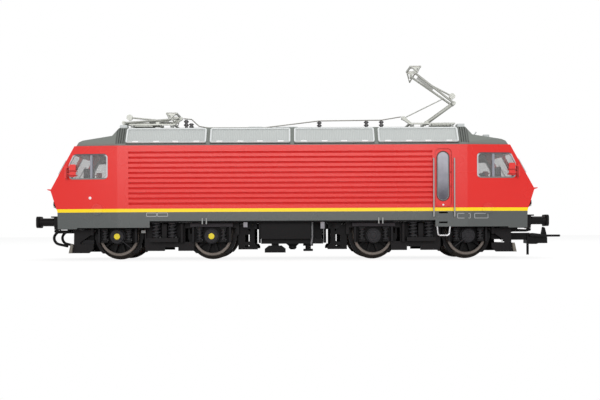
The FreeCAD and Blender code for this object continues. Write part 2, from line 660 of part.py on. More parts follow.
def headlamps():
    """Two lamp housings low on each front and one above the windscreens."""
    low, high = LAMP_Z
    mid = (low + high) / 2
    outline = [
        (front_x(low) - WALL / 2, low), (front_x(low) + LAMP_OUT / 2, low), (front_x(mid) + LAMP_OUT, mid),
        (front_x(high) + LAMP_OUT / 2, high), (front_x(high) - WALL / 2, high),
    ]
    lamp = swept_slab(outline).common(box(0, 2 * NOSE_X, *LAMP_Y, low, high))
    top_x = front_x(TOP_LAMP_Z[1])
    top = box(top_x - WALL, top_x + LAMP_OUT, -TOP_LAMP_W, TOP_LAMP_W, *TOP_LAMP_Z)
    return each_end([piece.cut(body_block(0)) for piece in both_sides(lamp) + [top]])


def wipers():
    """An arm on a short spindle beside each windscreen's outer edge."""
    pieces = []
    for side in ENDS:
        ends = []
        for y, z in (WIPER_FOOT, WIPER_TIP):
            surface = front_x(z) - FRONT_SWEEP * (y - FLAT_FRONT_W)
            ends.append((surface + WIPER_OUT, side * y, z))
        (x, y, z), tip = ends
        spindle = cylinder((x - WIPER_OUT - WALL / 2, y, z), (x, y, z), 2 * WIPER_R)
        blade = rod([(x, y, z), tip], WIPER_R)
        pieces.append(blade.fuse(spindle).cut(body_block(0)))
    return each_end(pieces)


def filler_caps():
    """Round covers low on the sides, with a raised rim round a sunk lid."""
    skin = -side_w(CAP_X)
    face = skin - CAP_PROUD
    cover = cylinder((CAP_X, face, CAP_Z), (CAP_X, skin + WALL / 2, CAP_Z), CAP_R)
    sunk = cylinder((CAP_X, face - CAP_PROUD, CAP_Z), (CAP_X, face + CAP_SUNK, CAP_Z), CAP_R - CAP_RIM)
    return four(cover.cut(sunk).cut(body_block(0)))


def lifting_lugs():
    """Pairs of slim upright lugs at the skirt's lower edge."""
    lugs = []
    for x in LUG_X:
        lugs += four(box(x - LUG_W / 2, x + LUG_W / 2, -HALF_W - LUG_PROUD, -HALF_W, *LUG_Z))
    return lugs


# ---- roof
def roof_section():
    half = [(ROOF_EDGE_W, EAVE_Z), (ROOF_EDGE_W, ROOF_LIP_Z), (DECK_W, DECK_Z), CROWN_SHOULDER, (0, CROWN_Z)]
    return [(-y, z) for y, z in half[:-1]] + [(y, z) for y, z in reversed(half)]


def slope_slab(x0, x1, low, high, outset, inset):
    """A slab along the near roof slope between two heights and two depths."""
    rise, run = DECK_Z - ROOF_LIP_Z, ROOF_EDGE_W - DECK_W
    length = math.hypot(rise, run)
    spots = [(-ROOF_EDGE_W + run * (z - ROOF_LIP_Z) / rise, z) for z in (low, high)]

    def off(points, distance):
        return [(y - rise / length * distance, z + run / length * distance) for y, z in points]

    return plate(off(spots, -inset) + off(spots, outset)[::-1], YZ, x0, x1)


def cab_roof():
    """The lower roof over the cab at end 1, highest along the middle."""
    start = DECK_X - 4 * WALL
    outline = [(start, EAVE_Z - CAB_ROOF_CROWN), (start, DECK_Z + CROWN_Z)] + [(DECK_X, DECK_Z + CROWN_Z)]
    outline += CAB_ROOF + [(CAB_ROOF[-1][0], EAVE_Z - CAB_ROOF_CROWN)]
    fall = CAB_ROOF_CROWN * HALF_W / DECK_W
    face = [Vector(x, 0, z + CAB_ROOF_CROWN) for x, z in outline]
    halves = []
    for side in ENDS:
        run = Vector(0, side * HALF_W, -fall)
        halves.append(Part.Face(Part.makePolygon(face + face[:1])).extrude(run))
    far = CAB_ROOF[-1][0]
    margin = HALF_W - ROOF_EDGE_W
    plan = [(start, -ROOF_EDGE_W), (far, margin - side_w(far))]
    plan += [(x, -y) for x, y in reversed(plan)]
    roofed = fuse(halves).common(plate(roof_section(), YZ, start, far))
    return roofed.common(plate(plan, XY, EAVE_Z, CROWN_Z))


def roof():
    """The grey roof: a raised deck with sloping sides, and a lower part over each cab."""
    deck = plate(roof_section(), YZ, -DECK_X, DECK_X)
    over_cab = cab_roof()
    whole = deck.fuse([over_cab, mirror_x(over_cab)]).removeSplitter()
    ribs = []
    for x in RIB_X:
        ribs += four(slope_slab(x - RIB_W, x, GRILLE_Z[0], GRILLE_Z[1], RIB_DEPTH, RIB_DEPTH))
    return whole.cut(ribs)


def roof_grilles():
    """Louvre panels on both roof slopes, each a raised border round a sunk field."""
    width = (2 * GRILLE_END_X - (GRILLES - 1) * GRILLE_GAP) / GRILLES
    low, high = GRILLE_Z
    panels = []
    for number in range(GRILLES):
        x0 = -GRILLE_END_X + number * (width + GRILLE_GAP)
        x1 = x0 + width
        outline = plate(oblong(x0, x1, low, high), XZ, -HALF_W, 0, GRILLE_R)
        panel = slope_slab(x0, x1, low, high, GRILLE_T, 0).common(outline)
        inner = (x0 + GRILLE_BORDER, x1 - GRILLE_BORDER, low + GRILLE_BORDER, high - GRILLE_BORDER)
        field = slope_slab(*inner, 2 * GRILLE_T, GRILLE_SUNK - GRILLE_T)
        panels += both_sides(panel.cut(field))
    return panels


def roof_boxes():
    """Low equipment boxes on the deck."""
    boxes = [box(x0, x1, -w, w, CROWN_Z - 1, CROWN_Z + h) for x0, x1, w, h in DECK_BOXES]
    boxes += four(box(*CORNER_BOX_X, *CORNER_BOX_Y, DECK_Z - 1, CORNER_BOX_Z))
    covered = roof()
    return [b.cut(covered) for b in boxes]


def insulator(x, y, foot, top, r):
    """A post insulator with a few sheds."""
    step = (top - foot) / (2 * SHEDS)
    core = 0.6 * r
    rows = [(0, core)]
    for shed in range(SHEDS):
        z = step * (2 * shed + 0.6)
        rows += [(z, core), (z, r), (z + 0.8 * step, r), (z + 0.8 * step, core)]
    rows.append((top - foot, core))
    return turned(rows, (x, y, foot), (0, 0, 1))


def roof_insulators():
    posts = [insulator(x, 0, CROWN_Z, CROWN_Z + height, POST_R) for x, height in LINE_POSTS]
    for side in ENDS:
        for x in (PAN_FRAME_X[0] + 1.5 * FRAME_BAR, PAN_FRAME_X[1] - 1.5 * FRAME_BAR):
            y = side * (PAN_FRAME_W - FRAME_BAR / 2)
            posts += both_ends(insulator(x, y, DECK_Z, PAN_FRAME_Z[0], FOOT_POST_R))
    covered = roof()
    return [post.cut(covered) for post in posts]


def roof_line():
    return rod([(x, 0, CROWN_Z + height) for x, height in ROOF_LINE], ROOF_LINE_R)


def cab_roof_details():
    """Aerial box and whistle over the cab at end 1."""
    whistle = cylinder(*WHISTLE, WHISTLE_R)
    aerial = box(*AERIAL_X, -AERIAL_W, AERIAL_W, *AERIAL_Z)
    covered = roof()
    return [aerial.cut(covered), whistle.cut(covered)]


# ---- inside the body
def cab_interior():
    """Desk, seat, floor and rear wall of the cab at end 1 in one moulding."""
    floor_z = FLOOR_Z[1]
    deck = floor_z + CAB_FLOOR_T
    wall_w = HALF_W - CAB_SIDE_GAP
    wall = box(*CAB_WALL_X, -wall_w, wall_w, floor_z, EAVE_Z - FLOOR_GAP)
    floor = box(CAB_WALL_X[1], CAB_FLOOR_END, -DESK_W, DESK_W, floor_z, deck)
    desk_outline = [(DESK[0][0], deck)] + DESK[:-1] + [(DESK[-1][0], deck)]
    desk = plate(desk_outline, XZ, -DESK_W, DESK_W)
    cushion = box(*SEAT_X, *SEAT_Y, *SEAT_Z)
    back = box(SEAT_X[0] - SEAT_BACK_T, SEAT_X[0], *SEAT_Y, SEAT_Z[0], SEAT_BACK_Z)
    x, y = sum(SEAT_X) / 2, sum(SEAT_Y) / 2
    stem = box(x - SEAT_STEM, x + SEAT_STEM, y - SEAT_STEM, y + SEAT_STEM, deck, SEAT_Z[0])
    return fuse([wall, floor, desk, cushion, back, stem])


def floor_plate():
    """The chassis floor, with blocks that stand on the bogies' large springs."""
    inside = body_block(WALL + FLOOR_GAP)
    whole = box(-NOSE_X, NOSE_X, -HALF_W, HALF_W, *FLOOR_Z)
    middle = PIVOT_DISTANCE / 2
    block = box(middle - SEAT_BLOCK_X, middle + SEAT_BLOCK_X, *SEAT_BLOCK_Y, SEAT_BLOCK_Z, FLOOR_Z[0])
    return whole.fuse(four(block)).common(inside).removeSplitter()


def motor_and_weight():
    return box(-WEIGHT_X, WEIGHT_X, -WEIGHT_W, WEIGHT_W, FLOOR_Z[1], WEIGHT_Z)


def buffer_beams():
    """Black beams under each front, which carry the buffers."""
    beam = box(BEAM_X, NOSE_X, -BEAM_W, BEAM_W, BEAM_Z, FLOOR_Z[0])
    return both_ends(beam.common(body_block(WALL + 0.1)))


def buffer_at(y):
    z = BUFFER_Z
    face = LENGTH_OVER_BUFFERS / 2
    back = face - BUFFER_HEAD_T
    foot = front_x(z) - FRONT_SWEEP * (BUFFER_Y + BUFFER_FOOT_W / 2 - FLAT_FRONT_W)
    start = foot - WALL / 2

    def block(long, wide, high, middle=z):
        return oblong(y - wide / 2, y + wide / 2, middle - high / 2, middle + high / 2), start, foot + long

    head = plate(oblong(y - BUFFER_HEAD_W / 2, y + BUFFER_HEAD_W / 2, z - BUFFER_HEAD_H / 2,
                        z + BUFFER_HEAD_H / 2), YZ, back, face, BUFFER_HEAD_R)
    flare = [(0, BUFFER_SHANK_R), (BUFFER_CONE, 1.25 * BUFFER_SHANK_R)]
    cone = turned(flare, (back - BUFFER_CONE, y, z), (1, 0, 0))
    shank = cylinder((start, y, z), (back, y, z), BUFFER_SHANK_R)
    outline, first, last = block(BUFFER_FOOT_X, BUFFER_FOOT_W, BUFFER_FOOT_H)
    housing = plate(outline, YZ, first, last, BUFFER_STEP_T)
    top = z + BUFFER_FOOT_H / 2
    outline, first, last = block(BUFFER_STEP_X, BUFFER_FOOT_W, BUFFER_STEP_T, top)
    step = plate(outline, YZ, first, last)
    under = z - (BUFFER_FOOT_H + BUFFER_BLOCK_H) / 2
    outline, first, last = block(BUFFER_BLOCK_X, BUFFER_BLOCK_W, BUFFER_BLOCK_H, under)
    lower = plate(outline, YZ, first, last)
    return fuse([head, cone, shank, housing, step, lower]).cut(body_block(0))


def buffers():
    return each_end([buffer_at(side * BUFFER_Y) for side in ENDS])


def drawhooks():
    """A hook below the beam at each end."""
    start = front_x(HOOK[0][1])
    hook = plate(placed(HOOK, x=start), XZ, -HOOK_T / 2, HOOK_T / 2)
    base = box(start - HOOK_BASE_X, start, -HOOK_BASE_W, HOOK_BASE_W, HOOK[0][1], SKIRT_END_Z)
    return both_ends(hook.fuse(base).removeSplitter())


def brake_hoses():
    """Two hoses that hang in loops from taps below the beam at end 2."""
    face = front_x(SKIRT_END_Z)
    hoses = []
    for side in ENDS:
        y = side * HOSE_Y
        loop = hose([(face + x, y, z) for x, z in HOSE], HOSE_R, HOSE_BEND)
        x, z = face + HOSE_TAP_X, HOSE[0][1]
        tap = cylinder((x, y, z - HOSE_TAP_R), (x, y, BEAM_Z), HOSE_TAP_R)
        hoses.append(half_turn(loop.fuse(tap)))
    return hoses


# ---- underfloor between the bogies
def transformer_box():
    body = box(*BOX_X, -BOX_W, BOX_W, BOX_Z, FLOOR_Z[0])
    foot = box(*BOX_FOOT_X, -BOX_FOOT_W, BOX_FOOT_W, BOX_FOOT_Z, BOX_Z)
    tail = box(BOX_X[1], BOX_TAIL_X, -BOX_TAIL_W, BOX_TAIL_W, BOX_Z, FLOOR_Z[0])
    return fuse([body, foot, tail]).removeSplitter()


def underfloor_items():
    """A bell-shaped foot, a drain and a spool below the box."""
    y = FITTING_Y
    foot = plate(placed(BELL, x=BELL_X), XZ, y - BELL_T / 2, y + BELL_T / 2)
    drain = turned(DRAIN, (DRAIN_X, y, DRAIN_Z), (0, 0, 1))
    spool = turned(SPOOL, (SPOOL_X, y, SPOOL_Z), (0, 0, 1))
    return [foot, drain, spool]


def side_pipes():
    """A cable conduit that drops from the floor at the box's end, on both sides."""
    return both_sides(rod([(x, -PIPE_Y, z) for x, z in PIPE], PIPE_R))


# ---- bogies
def side_frame(side):
    """One side plate with its guards, the well round the large springs and the rigging below."""
    y0, y1 = side_range(side, SIDE_Y)
    low, high = BAR_Z
    pieces = [box(-FRAME_END, FRAME_END, y0, y1, low, high)]
    for axle in ENDS:
        x = axle * HALF_BASE
        pieces.append(box(x - GUARD_X, x + GUARD_X, y0, y1, GUARD_Z, high))
        rib_y = side_range(side, (SIDE_Y[1], SIDE_Y[1] + GUARD_RIB_OUT))
        for end in ENDS:
            rib_x = side_range(end, (GUARD_X - GUARD_RIB_W, GUARD_X))
            pieces.append(box(x + rib_x[0], x + rib_x[1], *rib_y, *GUARD_RIB_Z))
    inner = WELL_X - WELL_WALL
    pieces = [fuse(pieces).cut(box(-inner, inner, y0 - 1, y1 + 1, SPRING_SEAT_Z, high + 1))]
    pieces.append(box(-WELL_X, WELL_X, y0, y1, WELL_LOW_Z, SPRING_SEAT_Z))
    for end in ENDS:
        wall_x = side_range(end, (inner, WELL_X))
        pieces.append(box(*wall_x, y0, y1, WELL_LOW_Z, high))
    pieces.append(box(-WELL_X, WELL_X, *side_range(side, WELL_BACK_Y), WELL_LOW_Z, high))
    shelf_y = side_range(side, (SIDE_Y[0], COVER_FACE_Y + 1))
    pieces.append(box(-SHELF_X, SHELF_X, *shelf_y, SPRING_SEAT_Z - SHELF_T, SPRING_SEAT_Z))
    guide_y = side_range(side, (WELL_BACK_Y[0], SPRING_Y))
    pieces.append(box(-GUIDE_W, GUIDE_W, *guide_y, SPRING_SEAT_Z, GUIDE_TOP))
    for x0, x1 in RIGGING_X:
        pieces.append(box(x0, x1, *side_range(side, RIGGING_Y), RIGGING_Z, SPRING_SEAT_Z - SHELF_T))
    return pieces + damper(side)


def damper(side):
    """An upright damper between two ledges, beside the large springs."""
    low, high = DAMPER_Z
    y = side * SPRING_Y
    pieces = [cylinder((DAMPER_X, y, low), (DAMPER_X, y, high), DAMPER_R)]
    for z in (low, high - DAMPER_R):
        ledge_y = side_range(side, (SIDE_Y[0], SPRING_Y))
        pieces.append(box(DAMPER_X - DAMPER_R, DAMPER_X + DAMPER_R, *ledge_y, z, z + DAMPER_R))
    return pieces


def end_brackets(side):
    """The open bracket at the bogie's inner end, and the gusset and its back plate at the outer end."""
    ladder = plate([(-FRAME_END - x, z) for x, z in LADDER], XZ, *side_range(side, LADDER_Y))
    for x0, x1, z0, z1 in LADDER_HOLES:
        ladder = ladder.cut(box(-FRAME_END - x1, -FRAME_END - x0, -HALF_W, HALF_W, z0, z1))
    gusset = plate(placed(GUSSET, x=FRAME_END), XZ, *side_range(side, GUSSET_Y))
    x0, x1 = (FRAME_END + x for x in BACK_PLATE_X)
    back = box(x0, x1, *side_range(side, BACK_PLATE_Y), *BACK_PLATE_Z)
    return [ladder, gusset, back]


def bogie_frame():
    """Side frames, bolster, gear case and end beams in one moulding."""
    pieces = []
    for side in ENDS:
        pieces += side_frame(side) + end_brackets(side)
        tongue_x = side_range(side, (FRAME_END - TONGUE_X - 1, FRAME_END))
        pieces.append(box(*tongue_x, -TONGUE_W, TONGUE_W, *TONGUE_Z))
        beam_x = side_range(side, (FRAME_END - END_BEAM_X, FRAME_END))
        pieces.append(box(*beam_x, -SIDE_Y[1], SIDE_Y[1], END_BEAM_Z, BAR_Z[1]))
    pieces.append(box(-WELL_X, WELL_X, -WELL_BACK_Y[1], WELL_BACK_Y[1], WELL_LOW_Z, SPRING_SEAT_Z))
    pieces.append(box(-CASE_X, CASE_X, -CASE_W, CASE_W, *CASE_Z))
    pieces.append(cylinder((0, 0, CASE_Z[0]), (0, 0, FLOOR_Z[0] - SWIVEL_GAP), PIVOT_R))
    whole = fuse(pieces)
    for axle in ENDS:
        x = axle * HALF_BASE
        whole = whole.cut(cylinder((x, -COVER_FACE_Y, AXLE_Z), (x, COVER_FACE_Y, AXLE_Z), AXLE_R + RUN_GAP))
    return whole.removeSplitter()


def axle_covers():
    """A round cover over each axle's end."""
    depth = COVER_FACE_Y - SIDE_Y[1]
    profile = [
        (0, COVER_R + COVER_FLANGE), (COVER_T, COVER_R + COVER_FLANGE), (COVER_T, COVER_R),
        (depth - COVER_T / 2, COVER_R), (depth, COVER_R - COVER_T / 2),
    ]
    covers = []
    for axle in ENDS:
        for side in ENDS:
            covers.append(turned(profile, (axle * HALF_BASE, side * SIDE_Y[1], AXLE_Z), (0, side, 0)))
    return covers


def coil(x, y, low, high, r, turns):
    """A coil spring drawn as a stack of rounded rings on a core."""
    pitch = (high - low) / turns
    core = 0.66 * r
    ring = [(0.12, core), (0.3, r), (0.7, r), (0.88, core)]
    rows = [(0, core)]
    for turn in range(turns):
        rows += [(pitch * (turn + share), radius) for share, radius in ring]
    rows.append((high - low, core))
    return turned(rows, (x, y, low), (0, 0, 1))


def primary_spots():
    """Places of the small springs on both sides of every axle: x, side, end."""
    return [
        (end * HALF_BASE + step * PRIMARY_X, side, end) for side in ENDS for end in ENDS for step in ENDS
    ]


def bogie_springs():
    springs = []
    top = SEAT_BLOCK_Z - SWIVEL_GAP
    for side in ENDS:
        for end in ENDS:
            x = end * SECONDARY_X
            springs.append(coil(x, side * SPRING_Y, SPRING_SEAT_Z, top, SECONDARY_R, SECONDARY_TURNS))
    for x, side, end in primary_spots():
        y = side * SPRING_Y
        springs.append(coil(x, y, PRIMARY_LOW_Z, PRIMARY_TOP_Z[end], PRIMARY_R, PRIMARY_TURNS))
    return springs


def spring_brackets():
    """Ledges that hold the small springs above and below."""
    ledges = []
    for x, side, end in primary_spots():
        y = side_range(side, (SIDE_Y[1], SPRING_Y + 0.8 * PRIMARY_R))
        for z in (PRIMARY_LOW_Z - LEDGE_PLATE_T, PRIMARY_TOP_Z[end]):
            ledges.append(box(x - PRIMARY_R, x + PRIMARY_R, *y, z, z + LEDGE_PLATE_T))
    return ledges


def plough():
    """The rail guard blade across the bogie's outer end."""
    return plate(placed(BLADE, x=FRAME_END), XZ, -BLADE_W, BLADE_W)


def brake_shoe(x, step, side):
    """A shoe and its hanger beside one wheel, towards step along X."""
    y0, y1 = side_range(side, SHOE_Y)
    inner_r = TREAD_R + SHOE_GAP
    ring = cylinder((x, y0, AXLE_Z), (x, y1, AXLE_Z), inner_r + SHOE_T)
    ring = ring.cut(cylinder((x, y0 - 1, AXLE_Z), (x, y1 + 1, AXLE_Z), inner_r))
    reach = side_range(step, (SHOE_FROM, HANGER_X + HANGER_W))
    shoe = ring.common(box(x + reach[0], x + reach[1], y0, y1, *SHOE_Z))
    hang = side_range(step, (HANGER_X, HANGER_X + HANGER_W))
    return [shoe, box(x + hang[0], x + hang[1], y0, y1, *HANGER_Z)]


def brakes():
    """Shoes on both sides of every wheel; the inner ones hang from a tube across the bogie."""
    units = []
    for axle in ENDS:
        x = axle * HALF_BASE
        pair = []
        for side in ENDS:
            pair += brake_shoe(x, -axle, side)
            units.append(fuse(brake_shoe(x, axle, side)).removeSplitter())
        tube_x = x - axle * TUBE_X
        pair.append(cylinder((tube_x, -WELL_BACK_Y[0], TUBE_Z), (tube_x, WELL_BACK_Y[0], TUBE_Z), TUBE_R))
        units.append(fuse(pair).removeSplitter())
    return units


def wheelset():
    """Two spoked wheels and their axle."""
    inner, outer = BACK_TO_BACK / 2, BACK_TO_BACK / 2 + WHEEL_WIDTH
    flange_r = TREAD_R + FLANGE_DEPTH
    rows = [
        (0, flange_r - WHEEL_EDGE), (WHEEL_EDGE, flange_r), (FLANGE_WIDTH - WHEEL_EDGE, flange_r),
        (FLANGE_WIDTH + WHEEL_EDGE, TREAD_R), (WHEEL_WIDTH - WHEEL_EDGE, TREAD_R),
        (WHEEL_WIDTH, TREAD_R - WHEEL_EDGE),
    ]
    wheel = turned(rows, (0, inner, 0), (0, 1, 0))
    clear_r = TREAD_R - RIM

    def disc(radius, start):
        return cylinder((0, start, 0), (0, outer + 1, 0), radius)

    gap = disc(clear_r, inner + WHEEL_WEB).cut(disc(HUB_R, inner))
    for spoke in range(SPOKES):
        arm = box(0, TREAD_R, inner, outer + 1, -SPOKE_W / 2, SPOKE_W / 2)
        arm.rotate(Vector(), Vector(0, 1, 0), spoke * 360 / SPOKES)
        gap = gap.cut(arm)
    hub = cylinder((0, inner, 0), (0, outer, 0), HUB_R)
    wheel = wheel.cut(gap).cut(disc(clear_r, outer - DISH)).fuse(hub)
    reach = SIDE_Y[0] - FLOOR_GAP
    axle = cylinder((0, -reach, 0), (0, reach, 0), AXLE_R)
    return fuse([wheel, mirror_y(wheel), axle]).removeSplitter()


# ---- coupler
def coupler():
    """Swinging shaft and hook head, with the uncoupling pin below."""
    z = COUPLER_Z
    head_x = BAIL_PIVOT_X + HEAD[0][0]
    low, high = z - SHAFT_LOW, z + SHAFT_HIGH
    shaft = box(COUPLER_PIVOT_X + EYE_R / 2, head_x + 1, -SHAFT_W, SHAFT_W, low, high)
    eye = cylinder((COUPLER_PIVOT_X, 0, low), (COUPLER_PIVOT_X, 0, high), EYE_R)
    pieces = [shaft, eye]
    pieces.append(plate(placed(HEAD, BAIL_PIVOT_X, z), XZ, -HEAD_W, HEAD_W))
    pieces.append(plate(placed(FIN, BAIL_PIVOT_X, z), XZ, -FIN_W, FIN_W))
    x0, x1 = (BAIL_PIVOT_X + x for x in CHEEK_X)
    for side in ENDS:
        pieces.append(box(x0, x1, *side_range(side, CHEEK_Y), z + CHEEK_Z[0], z + CHEEK_Z[1]))
    pieces.append(box(x0, x1, -CHEEK_Y[1], CHEEK_Y[1], z + CHEEK_Z[0], z - HEAD_W))
    pin_x = BAIL_PIVOT_X + RELEASE_PIN_X
    pieces.append(cylinder((pin_x, 0, RELEASE_PIN_Z), (pin_x, 0, z - SHAFT_LOW), RELEASE_PIN_R))
    hole = cylinder((BAIL_PIVOT_X, -BAIL_W, z), (BAIL_PIVOT_X, BAIL_W, z), BAIL_R + RUN_GAP)
    pivot = cylinder((COUPLER_PIVOT_X, 0, 0), (COUPLER_PIVOT_X, 0, 2 * z), PIVOT_PIN_R + RUN_GAP)
    return fuse(pieces).cut([hole, pivot]).removeSplitter()


def coupler_bail():
    """The loop that drops over the other vehicle's hook."""
    ring = [(BAIL_PIVOT_X, -BAIL_W), (COUPLER_TIP_X - BAIL_R, -BAIL_W), (COUPLER_TIP_X - BAIL_R, BAIL_W),
            (BAIL_PIVOT_X, BAIL_W), (BAIL_PIVOT_X, -BAIL_W), (COUPLER_TIP_X - BAIL_R, -BAIL_W)]
    return rod([(x, y, COUPLER_Z) for x, y in ring], BAIL_R).removeSplitter()


def coupler_mount():
    """The block and pin under the floor that carry the coupler."""
    x = COUPLER_PIVOT_X
    low, high = COUPLER_Z - SHAFT_LOW, COUPLER_Z + SHAFT_HIGH
    under = low - SWIVEL_GAP
    pin = cylinder((x, 0, under - SWIVEL_GAP), (x, 0, high + 1), PIVOT_PIN_R)
    cap = cylinder((x, 0, under - SWIVEL_GAP), (x, 0, under), PIVOT_CAP_R)
    block = box(x - MOUNT_X, x + MOUNT_X, -MOUNT_W, MOUNT_W, high + SWIVEL_GAP, BEAM_Z)
    return fuse([pin, cap, block])


# ---- pantographs, made raised
def lower_arm():
    (ax, az), (kx, kz) = PAN_BASE, PAN_KNEE
    tube = cylinder((ax, 0, az), (kx, 0, kz), LOWER_R)
    shaft = cylinder((ax, -BASE_SHAFT_W, az), (ax, BASE_SHAFT_W, az), BASE_SHAFT_R)
    knee = cylinder((kx, -KNEE_W, kz), (kx, KNEE_W, kz), KNEE_R)
    return fuse([tube, shaft, knee])


def along_upper(share):
    """A point of the upper arm's middle line, by its share of the way from the knee to the head."""
    return tuple(k + (h - k) * share for k, h in zip(PAN_KNEE, PAN_HEAD))


def upper_arm():
    """Two legs with a web between them, the lugs at the knee and a stay with its knob above."""
    (kx, kz), (hx, hz) = PAN_KNEE, PAN_HEAD
    pieces = []
    for side in ENDS:
        pieces.append(cylinder((kx, side * LEG_KNEE_Y, kz), (hx, side * LEG_HEAD_Y, hz), LEG_R))
        pieces.append(cylinder((kx, side * LUG_Y[0], kz), (kx, side * LUG_Y[1], kz), LUG_R))
        shaft = [(hx, side * y, hz) for y in HEAD_SHAFT_Y]
        pieces.append(cylinder(*shaft, HEAD_SHAFT_R))
    web = []
    for share in WEB_SHARE:
        x, z = along_upper(share)
        web.append(Vector(x, -(LEG_KNEE_Y + (LEG_HEAD_Y - LEG_KNEE_Y) * share), z))
    for share in reversed(WEB_SHARE):
        x, z = along_upper(share)
        web.append(Vector(x, WEB_FAR_Y, z))
    normal = Vector(kz - hz, 0, hx - kx).normalize() * WEB_T
    pieces.append(Part.Face(Part.makePolygon(web + web[:1])).extrude(normal))
    dx, dz = along_upper(ROD_SHARE)
    reach = LEG_KNEE_Y + (LEG_HEAD_Y - LEG_KNEE_Y) * ROD_SHARE
    pieces.append(cylinder((dx, ROD_Y + 2 * ROD_R, dz), (dx, reach, dz), ROD_R))
    knob_x, knob_z = kx + KNOB[0], kz + KNOB[1]
    pieces.append(cylinder((knob_x, -KNOB_W, knob_z), (knob_x, KNOB_W, knob_z), KNOB_R))
    end_x, end_z = along_upper(WEB_SHARE[1])
    pieces.append(cylinder((knob_x, 0, knob_z), (end_x, 0, end_z), STAY_R))
    return fuse(pieces).removeSplitter()


def pan_head():
    """Two contact strips whose horns meet and droop, carried on the upper arm's shafts."""
    hx, hz = PAN_HEAD
    low, high = STRIP_Z
    mid = (low + high) / 2
    tip_x, tip_y, tip_z = HORN_TIP
    pieces = []
    for x in STRIP_X:
        pieces.append(box(hx + x - STRIP_W, hx + x + STRIP_W, -STRIP_LONG, STRIP_LONG, hz + low, hz + high))
        for side in ENDS:
            run = [(hx + x, side * (STRIP_LONG - HORN_R), hz + mid), (hx + tip_x, side * tip_y, hz + tip_z)]
            pieces.append(rod(run, HORN_R))
    for side in ENDS:
        link_y = side_range(side, LINK_Y)
        pieces.append(box(hx + STRIP_X[0], hx + STRIP_X[1], *link_y, hz + low - LINK_W, hz + low + 0.1))
        pieces.append(box(hx - LINK_W, hx + LINK_W, *link_y, hz - LINK_W, hz + low))
        pieces.append(Part.makeSphere(1.2 * HORN_R, Vector(hx + tip_x, side * tip_y, hz + tip_z)))
    bore = cylinder((hx, -2 * tip_y, hz), (hx, 2 * tip_y, hz), HEAD_SHAFT_R + RUN_GAP)
    return fuse(pieces).cut(bore).removeSplitter()


def control_rod():
    """The thin rod beside the lower arm, with an eye on the bracket's pin."""
    (bx, bz), (dx, dz) = PAN_ROD, along_upper(ROD_SHARE)
    bar = cylinder((bx, ROD_Y, bz), (dx, ROD_Y, dz), ROD_R)
    eye = cylinder((bx, ROD_Y - ROD_R, bz), (bx, ROD_Y + ROD_R, bz), ROD_EYE_R)
    pin = cylinder((bx, 0, bz), (bx, 2 * ROD_Y, bz), ROD_PIN_R + RUN_GAP)
    return bar.fuse(eye).cut(pin)


def pan_frame():
    """The base frame on the roof insulators, with the bearings, the drive's housings and the bracket."""
    (x0, x1), (z0, z1) = PAN_FRAME_X, PAN_FRAME_Z
    ax, az = PAN_BASE
    w = PAN_FRAME_W
    pieces = [box(x, x + FRAME_BAR, -w, w, z0, z1) for x in (x0, x1 - FRAME_BAR)]
    for side in ENDS:
        pieces.append(box(x0, x1, *side_range(side, (w - FRAME_BAR, w)), z0, z1))
        pieces.append(box(ax - FRAME_BAR, ax + FRAME_BAR, *side_range(side, (BEARING_Y[0], w)), z0, z1))
        pieces.append(box(HOUSING_X, x1, *side_range(side, HOUSING_Y), z0, HOUSING_Z))
        lug_y = side_range(side, BEARING_Y)
        pieces.append(box(ax - BEARING_X, ax + BEARING_X, *lug_y, z0, az + BEARING_TOP))
    bx, bz = PAN_ROD
    pieces.append(plate(placed(ROD_BRACKET, bx, bz), XZ, *ROD_BRACKET_Y))
    pieces.append(cylinder((bx, ROD_BRACKET_Y[0], bz), (bx, ROD_Y + ROD_R, bz), ROD_PIN_R))
    reach = BEARING_Y[1] - (BEARING_Y[1] - BEARING_Y[0]) / 4
    bore = cylinder((ax, -reach, az), (ax, reach, az), BASE_SHAFT_R + RUN_GAP)
    return fuse(pieces).cut(bore).removeSplitter()


def fold(shape, pivot, degrees):
    """Turn a raised piece about a pivot of the arms' plane: positive drops the lower arm."""
    copy = shape.copy()
    copy.rotate(Vector(pivot[0], 0, pivot[1]), Vector(0, 1, 0), degrees)
    return copy


def turned_point(point, pivot, degrees):
    offset = Vector(point[0] - pivot[0], 0, point[1] - pivot[1])
    spot = FreeCAD.Rotation(Vector(0, 1, 0), degrees).multVec(offset)
    return (pivot[0] + spot.x, pivot[1] + spot.z)


def folded_pantograph():
    """The moving pieces of a lowered pantograph, still at end 1."""
    knee = turned_point(PAN_KNEE, PAN_BASE, FOLD_LOWER)
    dx, dz = knee[0] - PAN_KNEE[0], knee[1] - PAN_KNEE[1]

    def carried(point):
        return turned_point((point[0] + dx, point[1] + dz), knee, -FOLD_UPPER)

    upper = fold(moved(upper_arm(), dx, 0, dz), knee, -FOLD_UPPER)
    head_at, rod_at = carried(PAN_HEAD), carried(along_upper(ROD_SHARE))
    head = moved(pan_head(), head_at[0] - PAN_HEAD[0], 0, head_at[1] - PAN_HEAD[1])
    slopes = [
        math.atan2(z - PAN_ROD[1], x - PAN_ROD[0]) for x, z in (along_upper(ROD_SHARE), rod_at)
    ]
    link = fold(control_rod(), PAN_ROD, math.degrees(slopes[0] - slopes[1]))
    return fold(lower_arm(), PAN_BASE, FOLD_LOWER), upper, head, link


